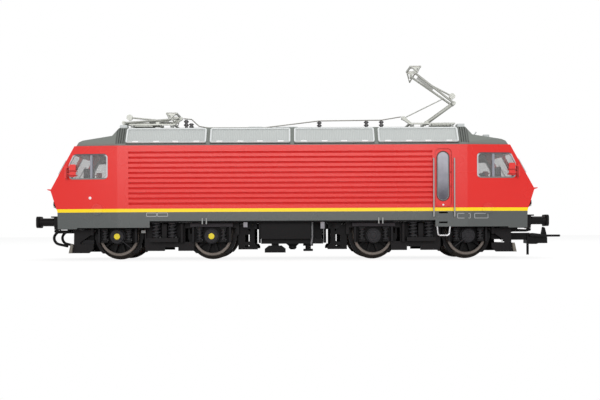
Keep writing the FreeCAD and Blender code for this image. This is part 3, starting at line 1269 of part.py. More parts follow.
# ---- files
BODY_NODES = {
    "body_shell": body_shell, "cab_window_frames": cab_window_frames, "cab_side_glass": cab_side_glass,
    "windscreens": windscreens, "door_glass": door_glass, "door_handrails": door_handrails,
    "door_stirrups": door_stirrups, "side_mirrors": side_mirrors, "nose_ledges": nose_ledges,
    "headlamps": headlamps, "wipers": wipers, "filler_caps": filler_caps, "skirt_lugs": lifting_lugs,
    "roof": roof, "roof_grilles": roof_grilles, "roof_boxes": roof_boxes,
    "roof_insulators": roof_insulators, "roof_line": roof_line, "cab_roof_details": cab_roof_details,
    "floor_plate": floor_plate, "motor_and_weight": motor_and_weight, "buffer_beams": buffer_beams,
    "buffers": buffers, "drawhook": drawhooks, "brake_hoses": brake_hoses,
    "transformer_box": transformer_box, "underfloor_items": underfloor_items, "side_pipes": side_pipes,
    "coupler_mount": coupler_mount, "coupler": coupler, "coupler_bail": coupler_bail,
}
BOGIE_NODES = {
    "frame": bogie_frame, "axle_covers": axle_covers, "springs": bogie_springs,
    "spring_brackets": spring_brackets, "brakes": brakes, "plough": plough,
}


def at_end(shapes, end, x):
    """Shapes made round the origin, set at a distance along X and turned for end 2."""
    shapes = shapes if isinstance(shapes, list) else [shapes]
    shifted = [moved(shape, x=x) for shape in shapes]
    return shifted if end > 0 else [half_turn(shape) for shape in shifted]


def main():
    os.makedirs("parts", exist_ok=True)
    for node, make in BODY_NODES.items():
        write(node, make())
    bogie = {name: make() for name, make in BOGIE_NODES.items()}
    wheels, cab, base = moved(wheelset(), z=AXLE_Z), cab_interior(), pan_frame()
    arms = {1: (lower_arm(), upper_arm(), pan_head(), control_rod()), 2: folded_pantograph()}
    for number, end in zip((1, 2), ENDS):
        write(f"cab_interior_{number}", at_end(cab, end, 0))
        for name, shapes in bogie.items():
            write(f"bogie_{number}_{name}", at_end(shapes, end, PIVOT_DISTANCE / 2))
        for axle, step in zip(("outer", "inner"), ENDS):
            x = PIVOT_DISTANCE / 2 + step * HALF_BASE
            write(f"wheelset_{number}_{axle}", at_end(wheels, end, x))
        write(f"pantograph_{number}_frame", at_end(base, end, 0))
        for name, piece in zip(("lower_arm", "upper_arm", "head", "rod"), arms[number]):
            write(f"pantograph_{number}_{name}", at_end(piece, end, 0))


main()
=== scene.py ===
# %% [markdown]
# # A scale model electric locomotive
# The real thing is a model that fits in the hand: a moulded plastic body in three colours, a grey roof
# with mesh panels, two sprung bogies in black plastic, and two folding pantographs of thin metal.
# The sizes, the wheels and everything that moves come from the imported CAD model, which this lesson
# calls the frame. The lesson dresses that frame: it gives every piece a finish, and adds the small
# forms that are easier to grow from a mesh than from solids.

# %% Load the frame
import math

import bmesh
import bpy
from mathutils import Matrix, Vector


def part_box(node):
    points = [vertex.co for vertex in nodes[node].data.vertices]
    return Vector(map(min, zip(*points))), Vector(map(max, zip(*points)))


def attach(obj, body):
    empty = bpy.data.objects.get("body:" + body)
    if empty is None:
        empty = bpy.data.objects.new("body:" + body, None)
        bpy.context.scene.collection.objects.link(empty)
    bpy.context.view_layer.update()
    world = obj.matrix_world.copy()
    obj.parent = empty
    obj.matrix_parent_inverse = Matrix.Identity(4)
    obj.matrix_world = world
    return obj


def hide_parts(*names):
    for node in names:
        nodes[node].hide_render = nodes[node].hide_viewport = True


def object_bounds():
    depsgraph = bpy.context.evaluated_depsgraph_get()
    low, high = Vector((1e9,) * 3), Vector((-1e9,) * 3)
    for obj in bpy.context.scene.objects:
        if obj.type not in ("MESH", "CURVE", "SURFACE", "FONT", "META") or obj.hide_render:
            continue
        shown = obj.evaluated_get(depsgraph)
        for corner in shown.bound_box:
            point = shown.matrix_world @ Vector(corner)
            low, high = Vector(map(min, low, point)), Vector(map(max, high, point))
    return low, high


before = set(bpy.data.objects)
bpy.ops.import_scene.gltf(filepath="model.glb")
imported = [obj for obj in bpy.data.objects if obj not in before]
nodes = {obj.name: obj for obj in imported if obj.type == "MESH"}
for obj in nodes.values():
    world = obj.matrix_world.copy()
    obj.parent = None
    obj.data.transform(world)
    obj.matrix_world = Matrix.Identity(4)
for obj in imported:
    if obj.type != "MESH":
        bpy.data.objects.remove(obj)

cad_low, cad_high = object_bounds()
MM = 0.001


def mm(*values):
    """Millimetres, written in the metres of the scene."""
    return tuple(value * MM for value in values)


# %% [markdown]
# ## Arithmetic on shader sockets
# A finish is mostly sums: how high is this point, how far from that edge, how much of one colour.
# Blender does such sums with Math nodes, which are slow to read as a list of links. So one small class
# wraps a socket and gives it Python's operators: each expression adds its Math nodes by itself.

# %% Wires and finishes
EDGE_SOFT = 0.03 * MM
NOISE_ROUGHNESS = 0.55


class Wire:
    """A socket's output that takes part in sums."""

    def __init__(self, finish, socket):
        self.finish = finish
        self.socket = socket

    def sum(self, operation, *values):
        inputs = dict(enumerate((self,) + values))
        return self.finish.add("ShaderNodeMath", {"operation": operation}, inputs)

    def __add__(self, other):
        return self.sum("ADD", other)

    def __sub__(self, other):
        return self.sum("SUBTRACT", other)

    def __rsub__(self, other):
        return self.sum("MULTIPLY", -1.0) + other

    def __mul__(self, other):
        return self.sum("MULTIPLY", other)

    def __truediv__(self, other):
        return self.sum("DIVIDE", other)

    def __mod__(self, other):
        return self.sum("FLOORED_MODULO", other)

    def __abs__(self):
        return self.sum("ABSOLUTE")

    __radd__ = __add__
    __rmul__ = __mul__

    def least(self, other):
        return self.sum("MINIMUM", other)

    def most(self, other):
        return self.sum("MAXIMUM", other)

    def waves(self, length):
        """Swings between 0 and 1, once in each stretch of this length."""
        return (self * (math.tau / length)).sum("SINE") * 0.5 + 0.5

    def over(self, edge, soft=EDGE_SOFT):
        """1 where this is past the edge, 0 short of it, with a narrow soft step between."""
        inputs = {0: self, 1: edge - soft, 2: edge + soft, 3: 0.0, 4: 1.0}
        return self.finish.add("ShaderNodeMapRange", {"interpolation_type": "SMOOTHSTEP"}, inputs)

    def within(self, low, high, soft=EDGE_SOFT):
        """1 between two limits, 0 outside them."""
        return self.over(low, soft) * (1.0 - self.over(high, soft))


class Finish:
    """A material and its node tree."""

    def __init__(self, name, **shader):
        self.material = bpy.data.materials.new(name)
        self.material.use_nodes = True
        self.tree = self.material.node_tree
        self.tree.nodes.clear()
        self.out = self.tree.nodes.new("ShaderNodeOutputMaterial")
        self.place = None
        self.shader = self.add("ShaderNodeBsdfPrincipled", {}, {})
        self.set(**shader)
        self.tree.links.new(self.shader.socket, self.out.inputs["Surface"])

    def add(self, kind, settings, inputs, output=0):
        """A node of a kind: its settings first, then values or wires for its sockets."""
        node = self.tree.nodes.new(kind)
        for name, value in settings.items():
            setattr(node, name, value)
        for name, value in inputs.items():
            self.put(node.inputs[name], value)
        return Wire(self, node.outputs[output])

    def put(self, socket, value):
        if isinstance(value, Wire):
            self.tree.links.new(value.socket, socket)
        else:
            socket.default_value = value

    def set(self, **inputs):
        """Feeds the shader's own sockets, such as Base_Color for Base Color."""
        for name, value in inputs.items():
            self.put(self.shader.socket.node.inputs[name.replace("_", " ")], value)

    def axes(self):
        """The point's x, y and z in the object's own metres."""
        if self.place is None:
            self.place = self.add("ShaderNodeTexCoord", {}, {}, "Object")
            self.parts = [self.add("ShaderNodeSeparateXYZ", {}, {0: self.place}, i) for i in range(3)]
        return self.parts

    def noise(self, scale, detail=3.0):
        self.axes()
        inputs = {"Vector": self.place, "Scale": scale, "Detail": detail, "Roughness": NOISE_ROUGHNESS}
        return self.add("ShaderNodeTexNoise", {}, inputs)

    def mix(self, share, first, second):
        """Colours blended by share: 0 gives the first."""
        return self.add("ShaderNodeMix", {"data_type": "RGBA"}, {0: share, 6: first, 7: second}, 2)

    def bump(self, height, distance):
        self.set(Normal=self.add("ShaderNodeBump", {}, {"Height": height, "Distance": distance}))


def srgb(red, green, blue):
    """A colour written as 0 to 255 screen values, made linear for the shader."""
    parts = [v / 255 for v in (red, green, blue)]
    return tuple(v / 12.92 if v <= 0.04045 else ((v + 0.055) / 1.055) ** 2.4 for v in parts) + (1.0,)


def grey(value):
    return (value, value, value, 1.0)


# %% [markdown]
# ## Moulded and painted plastic
# A model's body is one injection moulding, sprayed in its colours with masks. Up close the paint is a
# satin skin with a very fine tooth, a little brighter or duller from place to place. The colour
# borders are straight and sharp, so they follow the height in the model's own coordinates.

# %% Body paint
HALF_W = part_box("body_shell")[1].y
STRIPE_LOW, STRIPE_HIGH = mm(15.57, 16.76)
RED, YELLOW, SKIRT = srgb(223, 35, 29), srgb(255, 218, 4), srgb(84, 88, 87)
GROOVE_SHADE_RED, GROOVE_DULL = srgb(214, 11, 7), 0.38
INSIDE_SHADE = srgb(88, 66, 66)
GROOVES_X, GROOVES_LOW, GROOVE_STEP = mm(-57.2, 48.9), 17.6 * MM, 0.1 * MM
NOSE_X, NOSE_Z, FRONT_LEAN = 86.1 * MM, 23.4 * MM, 0.558
TAPER_X, TAPER = 61.0 * MM, 0.0785
WALL_SKIN, FRONT_SKIN = mm(0.7, 2.2)
PAINT_ROUGH = 0.27
SLOW_SCALE, TOOTH_SCALE = 55.0, 5200.0


def satin(finish, colour, tone=0.05, tooth=0.004, rough=0.34):
    """Even plastic: slow changes of tone, a fine tooth in the skin, and a roughness that wanders."""
    slow = finish.noise(SLOW_SCALE)
    fine = finish.noise(TOOTH_SCALE, 2.0)
    shade = finish.mix(slow * tone, colour, grey(0.0))
    finish.set(Base_Color=shade, Roughness=slow * 0.12 + (rough - 0.06))
    finish.bump(fine, tooth * MM)


def body_paint():
    """Grey skirt, yellow line and red walls; painted shade in the grooves, which are also duller, and
    painted shade on the inside faces.
    """
    finish = Finish("body_paint", Specular_IOR_Level=0.45)
    x, y, z = finish.axes()
    colour = finish.mix(z.over(STRIPE_LOW), SKIRT, YELLOW)
    colour = finish.mix(z.over(STRIPE_HIGH), colour, RED)
    on_ribs = (x * y.sum("SIGN") * -1.0).within(*GROOVES_X)
    in_groove = on_ribs * (1.0 - abs(y).over(HALF_W - GROOVE_STEP)) * z.over(GROOVES_LOW)
    # Painted shade: the grooves take a deeper red.
    colour = finish.mix(in_groove, colour, GROOVE_SHADE_RED)
    front = NOSE_X - (z - NOSE_Z) * FRONT_LEAN
    wall = HALF_W - (abs(x) - TAPER_X).most(0.0) * TAPER
    inside = (wall - abs(y)).over(WALL_SKIN, GROOVE_STEP) * (front - abs(x)).over(FRONT_SKIN)
    # Painted shade: the shell's inside faces above the yellow line are a dark brownish red.
    colour = finish.mix(inside * z.over(STRIPE_HIGH), colour, INSIDE_SHADE)
    satin(finish, colour, rough=in_groove * GROOVE_DULL + PAINT_ROUGH)
    return finish.material


def plain(name, colour, tone=0.06, tooth=0.004, rough=0.4, **shader):
    finish = Finish(name, **shader)
    satin(finish, colour, tone, tooth, rough)
    return finish.material


# %% [markdown]
# ## Metal, glass and black mouldings
# The bogies are black plastic, with painted shade behind the springs and covers and on the inner
# parts. The wheel rims are blackened metal with a painted highlight, a warm grey ring part way out.
# Window panes are clear plastic, which shows a bright skin of reflection over the cab behind it.

# %% Other finishes
RIM_DEPTH, RIM_HIGHLIGHT_AT, RIM_HIGHLIGHT_FALL = mm(2.3, 6.5, 1.0)
PANE_IOR = 1.49
ROOF = srgb(118, 123, 118)
RIBS_X, RIBS_Z, RIB_PITCH = mm(58.35, 61.9), mm(39.5, 45.4), 0.8 * MM
RIB_FIRST = 58.95 * MM
PANELS, PANEL_GAP, SLAT_PITCH, BORDER = 4, 1.3 * MM, 0.62 * MM, 0.5 * MM
CEILING_SHADE = 33.2 * MM
SEAT_X, SEAT_Y, SEAT_FOOT = mm(68.0, 73.6), mm(3.3, 8.7), 19.0 * MM
BAR_X = mm(69.6, 70.8)
SILL_HIGH, LINTEL_HIGH = mm(0.5, 0.45)
BAY_HALF, BAY_Z, DEEP_Y = 6.5 * MM, mm(4.9, 10.25), 10.6 * MM
FOOT_Y = 2.0 * MM


def wheel_finish(name):
    """Black centres inside browned metal rims, told apart by the distance from the axle, with a painted
    highlight ring on each rim.
    """
    low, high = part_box(name)
    centre = (low + high) / 2
    rim_inner = (high.z - low.z) / 2 - RIM_DEPTH
    finish = Finish("wheel_of_" + name, Specular_IOR_Level=0.12)
    x, _, z = finish.axes()
    out_x, out_z = x - centre.x, z - centre.z
    radius = (out_x * out_x + out_z * out_z).sum("SQRT")
    rim = radius.over(rim_inner)
    mottle = finish.noise(420.0, 4.0)
    metal = finish.mix(mottle, srgb(104, 96, 90), srgb(140, 131, 124))
    # Painted highlight: a warm grey ring on the rim, dark brown to either side of it.
    highlight_ring = 1.0 - (abs(radius - RIM_HIGHLIGHT_AT) * (1.0 / RIM_HIGHLIGHT_FALL)).least(1.0)
    metal = finish.mix(highlight_ring, srgb(58, 53, 50), metal)
    finish.set(Base_Color=finish.mix(rim, srgb(15, 14, 15), metal))
    finish.set(Metallic=rim * 0.45, Roughness=mottle * 0.14 + 0.34)
    finish.bump(finish.noise(4200.0, 2.0), 0.006 * MM)
    return finish.material


def clear_pane(name, tint, alpha, rough):
    finish = Finish(name, IOR=PANE_IOR)
    haze = finish.noise(260.0)
    finish.set(Base_Color=tint, Roughness=haze * 0.06 + rough, Alpha=haze * 0.1 + (alpha - 0.05))
    return finish.material


def milky_pane():
    """The door's pane: mottled and almost opaque, with a painted reflection that makes it paler towards
    its top.
    """
    low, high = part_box("door_glass")
    finish = Finish("milky_pane", IOR=PANE_IOR)
    height = (finish.axes()[2] - low.z) / (high.z - low.z)
    cloud = finish.noise(330.0, 4.0)
    # Painted reflection: paler towards the top of the pane.
    pale = (height + (cloud - 0.5) * 0.5).least(1.0).most(0.0)
    finish.set(Base_Color=finish.mix(pale, srgb(74, 72, 84), srgb(180, 180, 190)))
    finish.set(Alpha=cloud * 0.1 + 0.86, Roughness=cloud * 0.2 + 0.12)
    return finish.material


def roof_finish():
    """Grey roof, with painted shade between the upright ribs beside the last louvre panels."""
    finish = Finish("roof_grey", Specular_IOR_Level=0.4)
    x, _, z = finish.axes()
    slow = finish.noise(SLOW_SCALE)
    zone = abs(x).within(*RIBS_X, 0.06 * MM) * z.within(*RIBS_Z, 0.1 * MM)
    rib_shade_lines = (abs(x) - RIB_FIRST).waves(RIB_PITCH)
    colour = finish.mix(slow * 0.06, ROOF, srgb(96, 100, 96))
    # Painted shade: darker over the ribbed stretch, darkest between the ribs.
    colour = finish.mix(zone * (rib_shade_lines * 0.5 + 0.3), colour, srgb(58, 60, 57))
    finish.set(Base_Color=colour, Roughness=slow * 0.12 + 0.36)
    finish.bump(finish.noise(TOOTH_SCALE, 2.0), 0.005 * MM)
    return finish.material


def louvre_finish():
    """Pale roof panels: a whiter border round a field of fine slats."""
    low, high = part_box("roof_grilles")
    pitch = (high.x - low.x + PANEL_GAP) / PANELS
    finish = Finish("louvre_grey", Specular_IOR_Level=0.4)
    x, _, z = finish.axes()
    along = (x - low.x) % pitch
    from_ends = along.least((pitch - PANEL_GAP) - along)
    edge = from_ends.least((z - low.z) * 1.25).least((high.z - z) * 1.25)
    border = 1.0 - edge.over(BORDER, 0.1 * MM)
    slats = x.waves(SLAT_PITCH)
    slow = finish.noise(60.0)
    field = finish.mix(slats * 0.2 + slow * 0.3, srgb(192, 196, 194), srgb(158, 163, 163))
    finish.set(Base_Color=finish.mix(border, field, srgb(216, 219, 219)), Roughness=slow * 0.12 + 0.36)
    finish.bump(slats * (1.0 - border), 0.05 * MM)
    return finish.material


def cab_finish():
    """Light grey walls and desk, painted shade over the ceiling zone, and a slate seat."""
    finish = Finish("cab_grey", Specular_IOR_Level=0.3)
    x, y, z = finish.axes()
    slow = finish.noise(120.0)
    wall = finish.mix(slow * 0.4, srgb(158, 156, 150), srgb(128, 126, 122))
    wall = finish.mix(z.over(CEILING_SHADE, 0.5 * MM), wall, srgb(66, 56, 58))
    seat = abs(x).within(*SEAT_X) * abs(y).within(*SEAT_Y) * z.over(SEAT_FOOT)
    finish.set(Base_Color=finish.mix(seat, wall, srgb(66, 68, 80)), Roughness=slow * 0.1 + 0.5)
    finish.bump(finish.noise(2600.0, 2.0), 0.006 * MM)
    return finish.material


def frame_finish():
    """Window frames: silvery at the sides, with a duller bar and sill, and dark under the top edge."""
    low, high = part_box("cab_window_frames")
    finish = Finish("window_frame", Specular_IOR_Level=0.4)
    x, _, z = finish.axes()
    slow = finish.noise(200.0)
    side = finish.mix(abs(x).within(*BAR_X), srgb(196, 198, 202), srgb(146, 147, 158))
    colour = finish.mix(z.over(low.z + SILL_HIGH, 0.15 * MM), srgb(118, 122, 120), side)
    colour = finish.mix(z.over(high.z - LINTEL_HIGH, 0.15 * MM), colour, srgb(74, 70, 72))
    colour = finish.mix(slow * 0.2, colour, srgb(110, 112, 112))
    finish.set(Base_Color=colour, Roughness=slow * 0.1 + 0.3)
    return finish.material


def bogie_finish(number):
    """Black plastic, with painted shade behind the springs and covers and on the inner parts."""
    low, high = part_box(f"bogie_{number}_axle_covers")
    middle, cover = (low.x + high.x) / 2, (high.z - low.z) / 2
    finish = Finish(f"bogie_black_{number}", Specular_IOR_Level=0.1)
    x, y, z = finish.axes()
    from_axle = abs(abs(x - middle) - ((high.x - low.x) / 2 - cover))
    bay = (1.0 - from_axle.over(BAY_HALF, 0.2 * MM)) * z.within(*BAY_Z, 0.15 * MM)
    # Painted shade: near black in the bays round the axles and on the parts that lie further in.
    shade_share = bay.most(1.0 - abs(y).over(DEEP_Y, 0.4 * MM))
    slow = finish.noise(170.0, 4.0)
    outer = finish.mix(slow, srgb(27, 26, 27), srgb(38, 36, 37))
    finish.set(Base_Color=finish.mix(shade_share, outer, srgb(11, 10, 11)), Roughness=slow * 0.16 + 0.4)
    finish.bump(finish.noise(3600.0, 2.0), 0.012 * MM)
    return finish.material


def insulator_finish():
    """Dark glazed posts along the roof, and pale ones under the pantographs' feet."""
    finish = Finish("insulator", Coat_Weight=0.3)
    slow = finish.noise(400.0)
    foot = abs(finish.axes()[1]).over(FOOT_Y)
    colour = finish.mix(foot, srgb(62, 58, 62), srgb(190, 192, 188))
    finish.set(Base_Color=finish.mix(slow * 0.3, colour, srgb(30, 28, 30)), Roughness=slow * 0.1 + 0.2)
    return finish.material


FINISHES = {
    "paint": body_paint(),
    "red": plain("red_plastic", RED),
    "roof": roof_finish(),
    "grille": plain("grille_grey", srgb(196, 200, 200), 0.05),
    "louvre": louvre_finish(),
    "frame": plain("window_frame_grey", srgb(150, 152, 150), 0.05, 0.003, 0.35),
    "window": frame_finish(),
    "pane": clear_pane("clear_pane", srgb(158, 158, 158), 0.25, 0.03),
    "milky": milky_pane(),
    "rail": plain("rail_grey", srgb(160, 160, 160), 0.05, 0.003, 0.35),
    "bright": plain("bright_metal", srgb(214, 214, 216), 0.1, 0.003, 0.22, Metallic=1.0),
    "insulator": insulator_finish(),
    "line": plain("line_metal", srgb(150, 148, 142), 0.15, 0.004, 0.35, Metallic=0.6),
    "cab": cab_finish(),
    "black": plain("black_plastic", srgb(23, 22, 23), 0.3, 0.008, 0.42, Specular_IOR_Level=0.12),
    # The spring wire is lighter than the bogie's black: a painted highlight for its lit coils, which the
    # sensor cables share.
    "coil": plain("spring_black", srgb(46, 45, 48), 0.3, 0.006, 0.34, Specular_IOR_Level=0.4),
    "cover": plain("cover_black", srgb(50, 49, 52), 0.3, 0.008, Specular_IOR_Level=0.15),
    "ledge": plain("ledge_black", srgb(54, 50, 54), 0.3, 0.008, Specular_IOR_Level=0.15),
    "post": plain("post_black", srgb(33, 32, 34), 0.3, 0.008, Specular_IOR_Level=0.12),
    "bogie_1": bogie_finish(1),
    "bogie_2": bogie_finish(2),
    "tab": plain("tab_grey", srgb(140, 138, 144), 0.1, 0.003, 0.35),
    "weight": plain("weight_metal", srgb(96, 96, 98), 0.2, 0.01, 0.5, Metallic=0.7),
    "pantograph": plain("pantograph_metal", srgb(182, 183, 176), 0.2, 0.004, 0.32, Metallic=0.4),
    "conduit": plain("conduit_grey", srgb(120, 120, 122), 0.1, 0.004, 0.35),
    "wiper": plain("wiper_grey", srgb(196, 198, 198), 0.08, 0.004, 0.35),
    "white": plain("white_paint", srgb(236, 236, 236), 0.04, 0.003, 0.35),
    "plate": plain("plate_edge", srgb(178, 180, 182), 0.04, 0.003, 0.35),
    "yellow": plain("yellow_paint", srgb(236, 214, 18), 0.06, 0.003, 0.35),
    "dark_red": plain("dark_red", srgb(170, 24, 20), 0.1),
    "seam": plain("seam_red", srgb(196, 26, 24), 0.05, 0.003),
    "console": plain("console_slate", srgb(44, 46, 56), 0.2, 0.004, 0.45),
    # Near black: painted shade in the spring cores and under the roof panels, and the door gaskets.
    "shadow": plain("gap_black", srgb(12, 12, 13), 0.1, 0.003, 0.6),
    "blade": plain("blade_grey", srgb(120, 114, 104), 0.2, 0.006),
    "lens": clear_pane("lens", srgb(240, 240, 236), 0.8, 0.05),
}

NODE_FINISH = {
    "body_shell": "paint", "side_mirrors": "red", "nose_ledges": "red", "filler_caps": "paint",
    "cab_window_frames": "window", "cab_side_glass": "pane", "windscreens": "pane", "door_glass": "milky",
    "door_handrails": "rail", "door_stirrups": "bright", "skirt_lugs": "frame", "roof": "roof",
    "roof_grilles": "louvre", "roof_boxes": "grille", "cab_roof_details": "grille",
    "roof_insulators": "insulator", "roof_line": "line", "cab_interior_1": "cab", "cab_interior_2": "cab",
    "motor_and_weight": "weight", "side_pipes": "conduit", "wipers": "wiper",
    "bogie_1_plough": "blade", "bogie_2_plough": "blade",
}


def finish_of(name):
    if name.startswith("pantograph_"):
        return "pantograph"
    if name.endswith("axle_covers"):
        return "cover"
    if name.endswith("_frame"):
        return name.removesuffix("_frame")
    return NODE_FINISH.get(name, "black")


for name, node in nodes.items():
    node.data.materials.clear()
    wheel = name.startswith("wheelset_")
    node.data.materials.append(wheel_finish(name) if wheel else FINISHES[finish_of(name)])

# %% [markdown]
# ## Tools for small pieces
# A few mesh helpers cover all the small pieces. One turns a profile into a round body, one draws a
# round wire along a path, one makes a frame with rounded corners, and one makes a block with broken
# edges, as no moulded edge is perfectly sharp. Others list the separate solids of a frame node, so
# that springs, panels and panes tell the lesson where they are, and copy a form to the far side.

# %% Mesh helpers
WELD, LATHE_WELD = 1e-6, 1e-7
CORNER_STEPS = 6
ORIGIN = (0, 0, 0)
UP = (0, 0, 1)


def piece(name, form, finish, body):
    """Makes a mesh into a piece of the model that rides on a body."""
    bmesh.ops.recalc_face_normals(form, faces=form.faces)
    mesh = bpy.data.meshes.new(name)
    form.to_mesh(mesh)
    form.free()
    mesh.materials.append(FINISHES[finish])
    made = bpy.data.objects.new(name, mesh)
    bpy.context.scene.collection.objects.link(made)
    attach(made, body)
    print(name, "has", len(mesh.polygons), "faces")
    return made


def forms(count):
    return [bmesh.new() for _ in range(count)]


def fresh(form):
    """The points that no helper has finished with."""
    return [vert for vert in form.verts if not vert.tag]


def settle(form):
    for vert in form.verts:
        vert.tag = True


def skin(form, first, second):
    """Faces between two rings of points."""
    for k in range(len(first)):
        after = (k + 1) % len(first)
        form.faces.new((first[k], first[after], second[after], second[k]))


def rows(profile, along, across):
    """A profile's (distance, radius) shares at their real sizes."""
    return [(distance * along, radius * across) for distance, radius in profile]


def lathe(form, profile, centre, axis, steps=32):
    """A round body from rows of (distance along the axis, radius)."""
    spine = [form.verts.new((radius, 0, along)) for along, radius in profile]
    edges = [form.edges.new(pair) for pair in zip(spine, spine[1:])]
    bmesh.ops.spin(
        form, geom=spine + edges, cent=ORIGIN, axis=UP, angle=math.tau, steps=steps, use_merge=True)
    bmesh.ops.remove_doubles(form, verts=fresh(form), dist=LATHE_WELD)
    turn = Vector(UP).rotation_difference(Vector(axis)).to_matrix()
    bmesh.ops.rotate(form, verts=fresh(form), cent=ORIGIN, matrix=turn)
    bmesh.ops.translate(form, verts=fresh(form), vec=centre)
    settle(form)


def tube(form, points, radius, up=UP, steps=8):
    """A round wire through points, closed at both ends."""
    turns = [math.tau * k / steps for k in range(steps)]
    rings = []
    for i, point in enumerate(points):
        run = (points[min(i + 1, len(points) - 1)] - points[max(i - 1, 0)]).normalized()
        across = run.cross(Vector(up)).normalized()
        over = across.cross(run)
        spokes = [across * math.cos(turn) + over * math.sin(turn) for turn in turns]
        rings.append([form.verts.new(point + spoke * radius) for spoke in spokes])
    for first, second in zip(rings, rings[1:]):
        skin(form, first, second)
    form.faces.new(rings[0])
    form.faces.new(rings[-1])
    settle(form)


def rounded(low, high, radius):
    """Corner points of a rectangle with rounded corners, in two coordinates."""
    points = []
    corners = [(high[0], high[1], 0), (low[0], high[1], 1), (low[0], low[1], 2), (high[0], low[1], 3)]
    for a, b, quarter in corners:
        a += -radius if quarter in (0, 3) else radius
        b += -radius if quarter < 2 else radius
        for k in range(CORNER_STEPS + 1):
            turn = (quarter + k / CORNER_STEPS) * math.pi / 2
            points.append((a + radius * math.cos(turn), b + radius * math.sin(turn)))
    return points


def border(form, low, high, radius, width, near, far, shift=None):
    """A frame round a rectangle in X and Z, from near to far along Y, which may shift with X."""
    outer = rounded(low, high, radius)
    inner = rounded((low[0] + width, low[1] + width), (high[0] - width, high[1] - width), radius - width)
    loops = []
    for outline, y in ((outer, near), (inner, near), (inner, far), (outer, far)):
        loops.append([form.verts.new((x, y + (shift(x) if shift else 0.0), z)) for x, z in outline])
    for first, second in zip(loops, loops[1:] + loops[:1]):
        skin(form, first, second)
    settle(form)


def block(form, x, y, z, edge):
    """A block between two values along each axis, with broken edges."""
    made = bmesh.ops.create_cube(form, size=1.0)["verts"]
    low, high = (Vector(corner) for corner in zip(x, y, z))
    bmesh.ops.scale(form, vec=high - low, verts=made)
    bmesh.ops.translate(form, vec=(high + low) / 2, verts=made)
    edges = list({e for v in made for e in v.link_edges})
    bmesh.ops.bevel(form, geom=edges, offset=edge, segments=2, affect="EDGES", profile=0.6)
    settle(form)


def solids_of(name):
    """Lowest and highest corners of each separate solid of a node."""
    form = bmesh.new()
    form.from_mesh(nodes[name].data)
    bmesh.ops.remove_doubles(form, verts=form.verts, dist=WELD)
    found, seen = [], set()
    for start in form.verts:
        if start in seen:
            continue
        seen.add(start)
        group, waiting = [start], [start]
        while waiting:
            vert = waiting.pop()
            for edge in vert.link_edges:
                other = edge.other_vert(vert)
                if other not in seen:
                    seen.add(other)
                    group.append(other)
                    waiting.append(other)
        spans = [[v.co[i] for v in group] for i in range(3)]
        found.append((Vector(min(span) for span in spans), Vector(max(span) for span in spans)))
    form.free()
    return found


def side_of(low, high):
    """1 for a solid on the far side of the model, -1 for one on the near side."""
    return math.copysign(1, low.y + high.y)


def face_of(low, high):
    """How far out, to either side, a solid reaches."""
    return max(abs(low.y), abs(high.y))


def span(sign, first, second):
    """The lower and the higher end of a stretch, on the plus or the minus side of the middle."""
    return sorted((sign * first, sign * second))


def half_turned(form):
    """Adds a copy of everything in the form, turned half round Z."""
    copy = bmesh.ops.duplicate(form, geom=form.verts[:] + form.edges[:] + form.faces[:])["geom"]
    verts = [g for g in copy if isinstance(g, bmesh.types.BMVert)]
    bmesh.ops.rotate(form, verts=verts, cent=ORIGIN, matrix=Matrix.Rotation(math.pi, 3, "Z"))


# %% [markdown]
# ## Coil springs
# The bogies ride on coil springs of round wire. The frame holds plain stacks of rings, which are
# enough to touch and to weigh. A helix of a few hundred small faces looks like the wound wire, and it
# fills exactly the box of the solid that it stands for. Each end closes up flat, as on a real spring.

# %% Springs
WIRE_SHARE, CORE_SHARE = 0.23, 0.6
STEPS_A_TURN = 18
WIDE_SPRING = 1.3 * MM
BOGIES = {1: 1, 2: -1}


def coil(form, shade_cores, low, high):
    """A helical spring in the box of a plain one, round a black core that stands for the shade inside the
    coil.
    """
    radius, tall = (high.x - low.x) / 2, high.z - low.z
    centre = (low + high) / 2
    wire, core = WIRE_SHARE * radius, CORE_SHARE * radius
    reach, rise = radius - wire, tall - 2 * wire
    turns = 5 if radius > WIDE_SPRING else 4
    points = []
    for i in range(STEPS_A_TURN * turns + 1):
        turn = i / STEPS_A_TURN
        share = min(max((turn - 0.5) / (turns - 1), 0.0), 1.0)
        angle = math.tau * turn
        x, y = centre.x + reach * math.cos(angle), centre.y + reach * math.sin(angle)
        points.append(Vector((x, y, low.z + wire + rise * share)))
    tube(form, points, wire)
    profile = [(0.0, 0.0), (0.0, core), (tall, core), (tall, 0.0)]
    lathe(shade_cores, profile, (centre.x, centre.y, low.z), UP, 20)


for number in BOGIES:
    source = f"bogie_{number}_springs"
    form, shade_cores = forms(2)
    for low, high in solids_of(source):
        coil(form, shade_cores, low, high)
    # Painted shade: a near black core fills the inside of each coil.
    piece(f"spring_shade_cores_{number}", shade_cores, "shadow", f"bogie_{number}")
    springs = piece(f"coil_springs_{number}", form, "coil", f"bogie_{number}")
    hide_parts(source)

# %% [markdown]
# ## Axle covers and bogie trim
# Each axle end has a round cover with a raised rim, a cap and a ring of bolts. On each bogie the caps
# of one side are painted yellow. They are turned bodies, so a profile and the lathe helper make them.
# A pale plate is bolted to the bogie's side beside the outer wheel.

# %% Cover rims, caps and plates
RIM_ROWS = [(-0.3, 1.0), (0.1, 1.0), (0.16, 0.95), (0.16, 0.86), (0.06, 0.8), (-0.3, 0.8)]
CAP_ROWS = [(-0.2, 1.0), (0.6, 1.0), (0.9, 0.85), (1.0, 0.5), (1.0, 0.0)]
BOLT_ROWS = [(0.0, 0.2), (0.09, 0.2), (0.14, 0.1), (0.14, 0.0)]
RIM_IN, CAP_RISE, CAP_R = mm(0.35, 0.2, 1.06)
BOLTS, BOLT_RING = 6, 0.66
SIDE_PLATE_X, SIDE_PLATE_Y, SIDE_PLATE_Z = mm(52.25, 53.75), mm(11.8, 12.1), mm(8.3, 9.3)

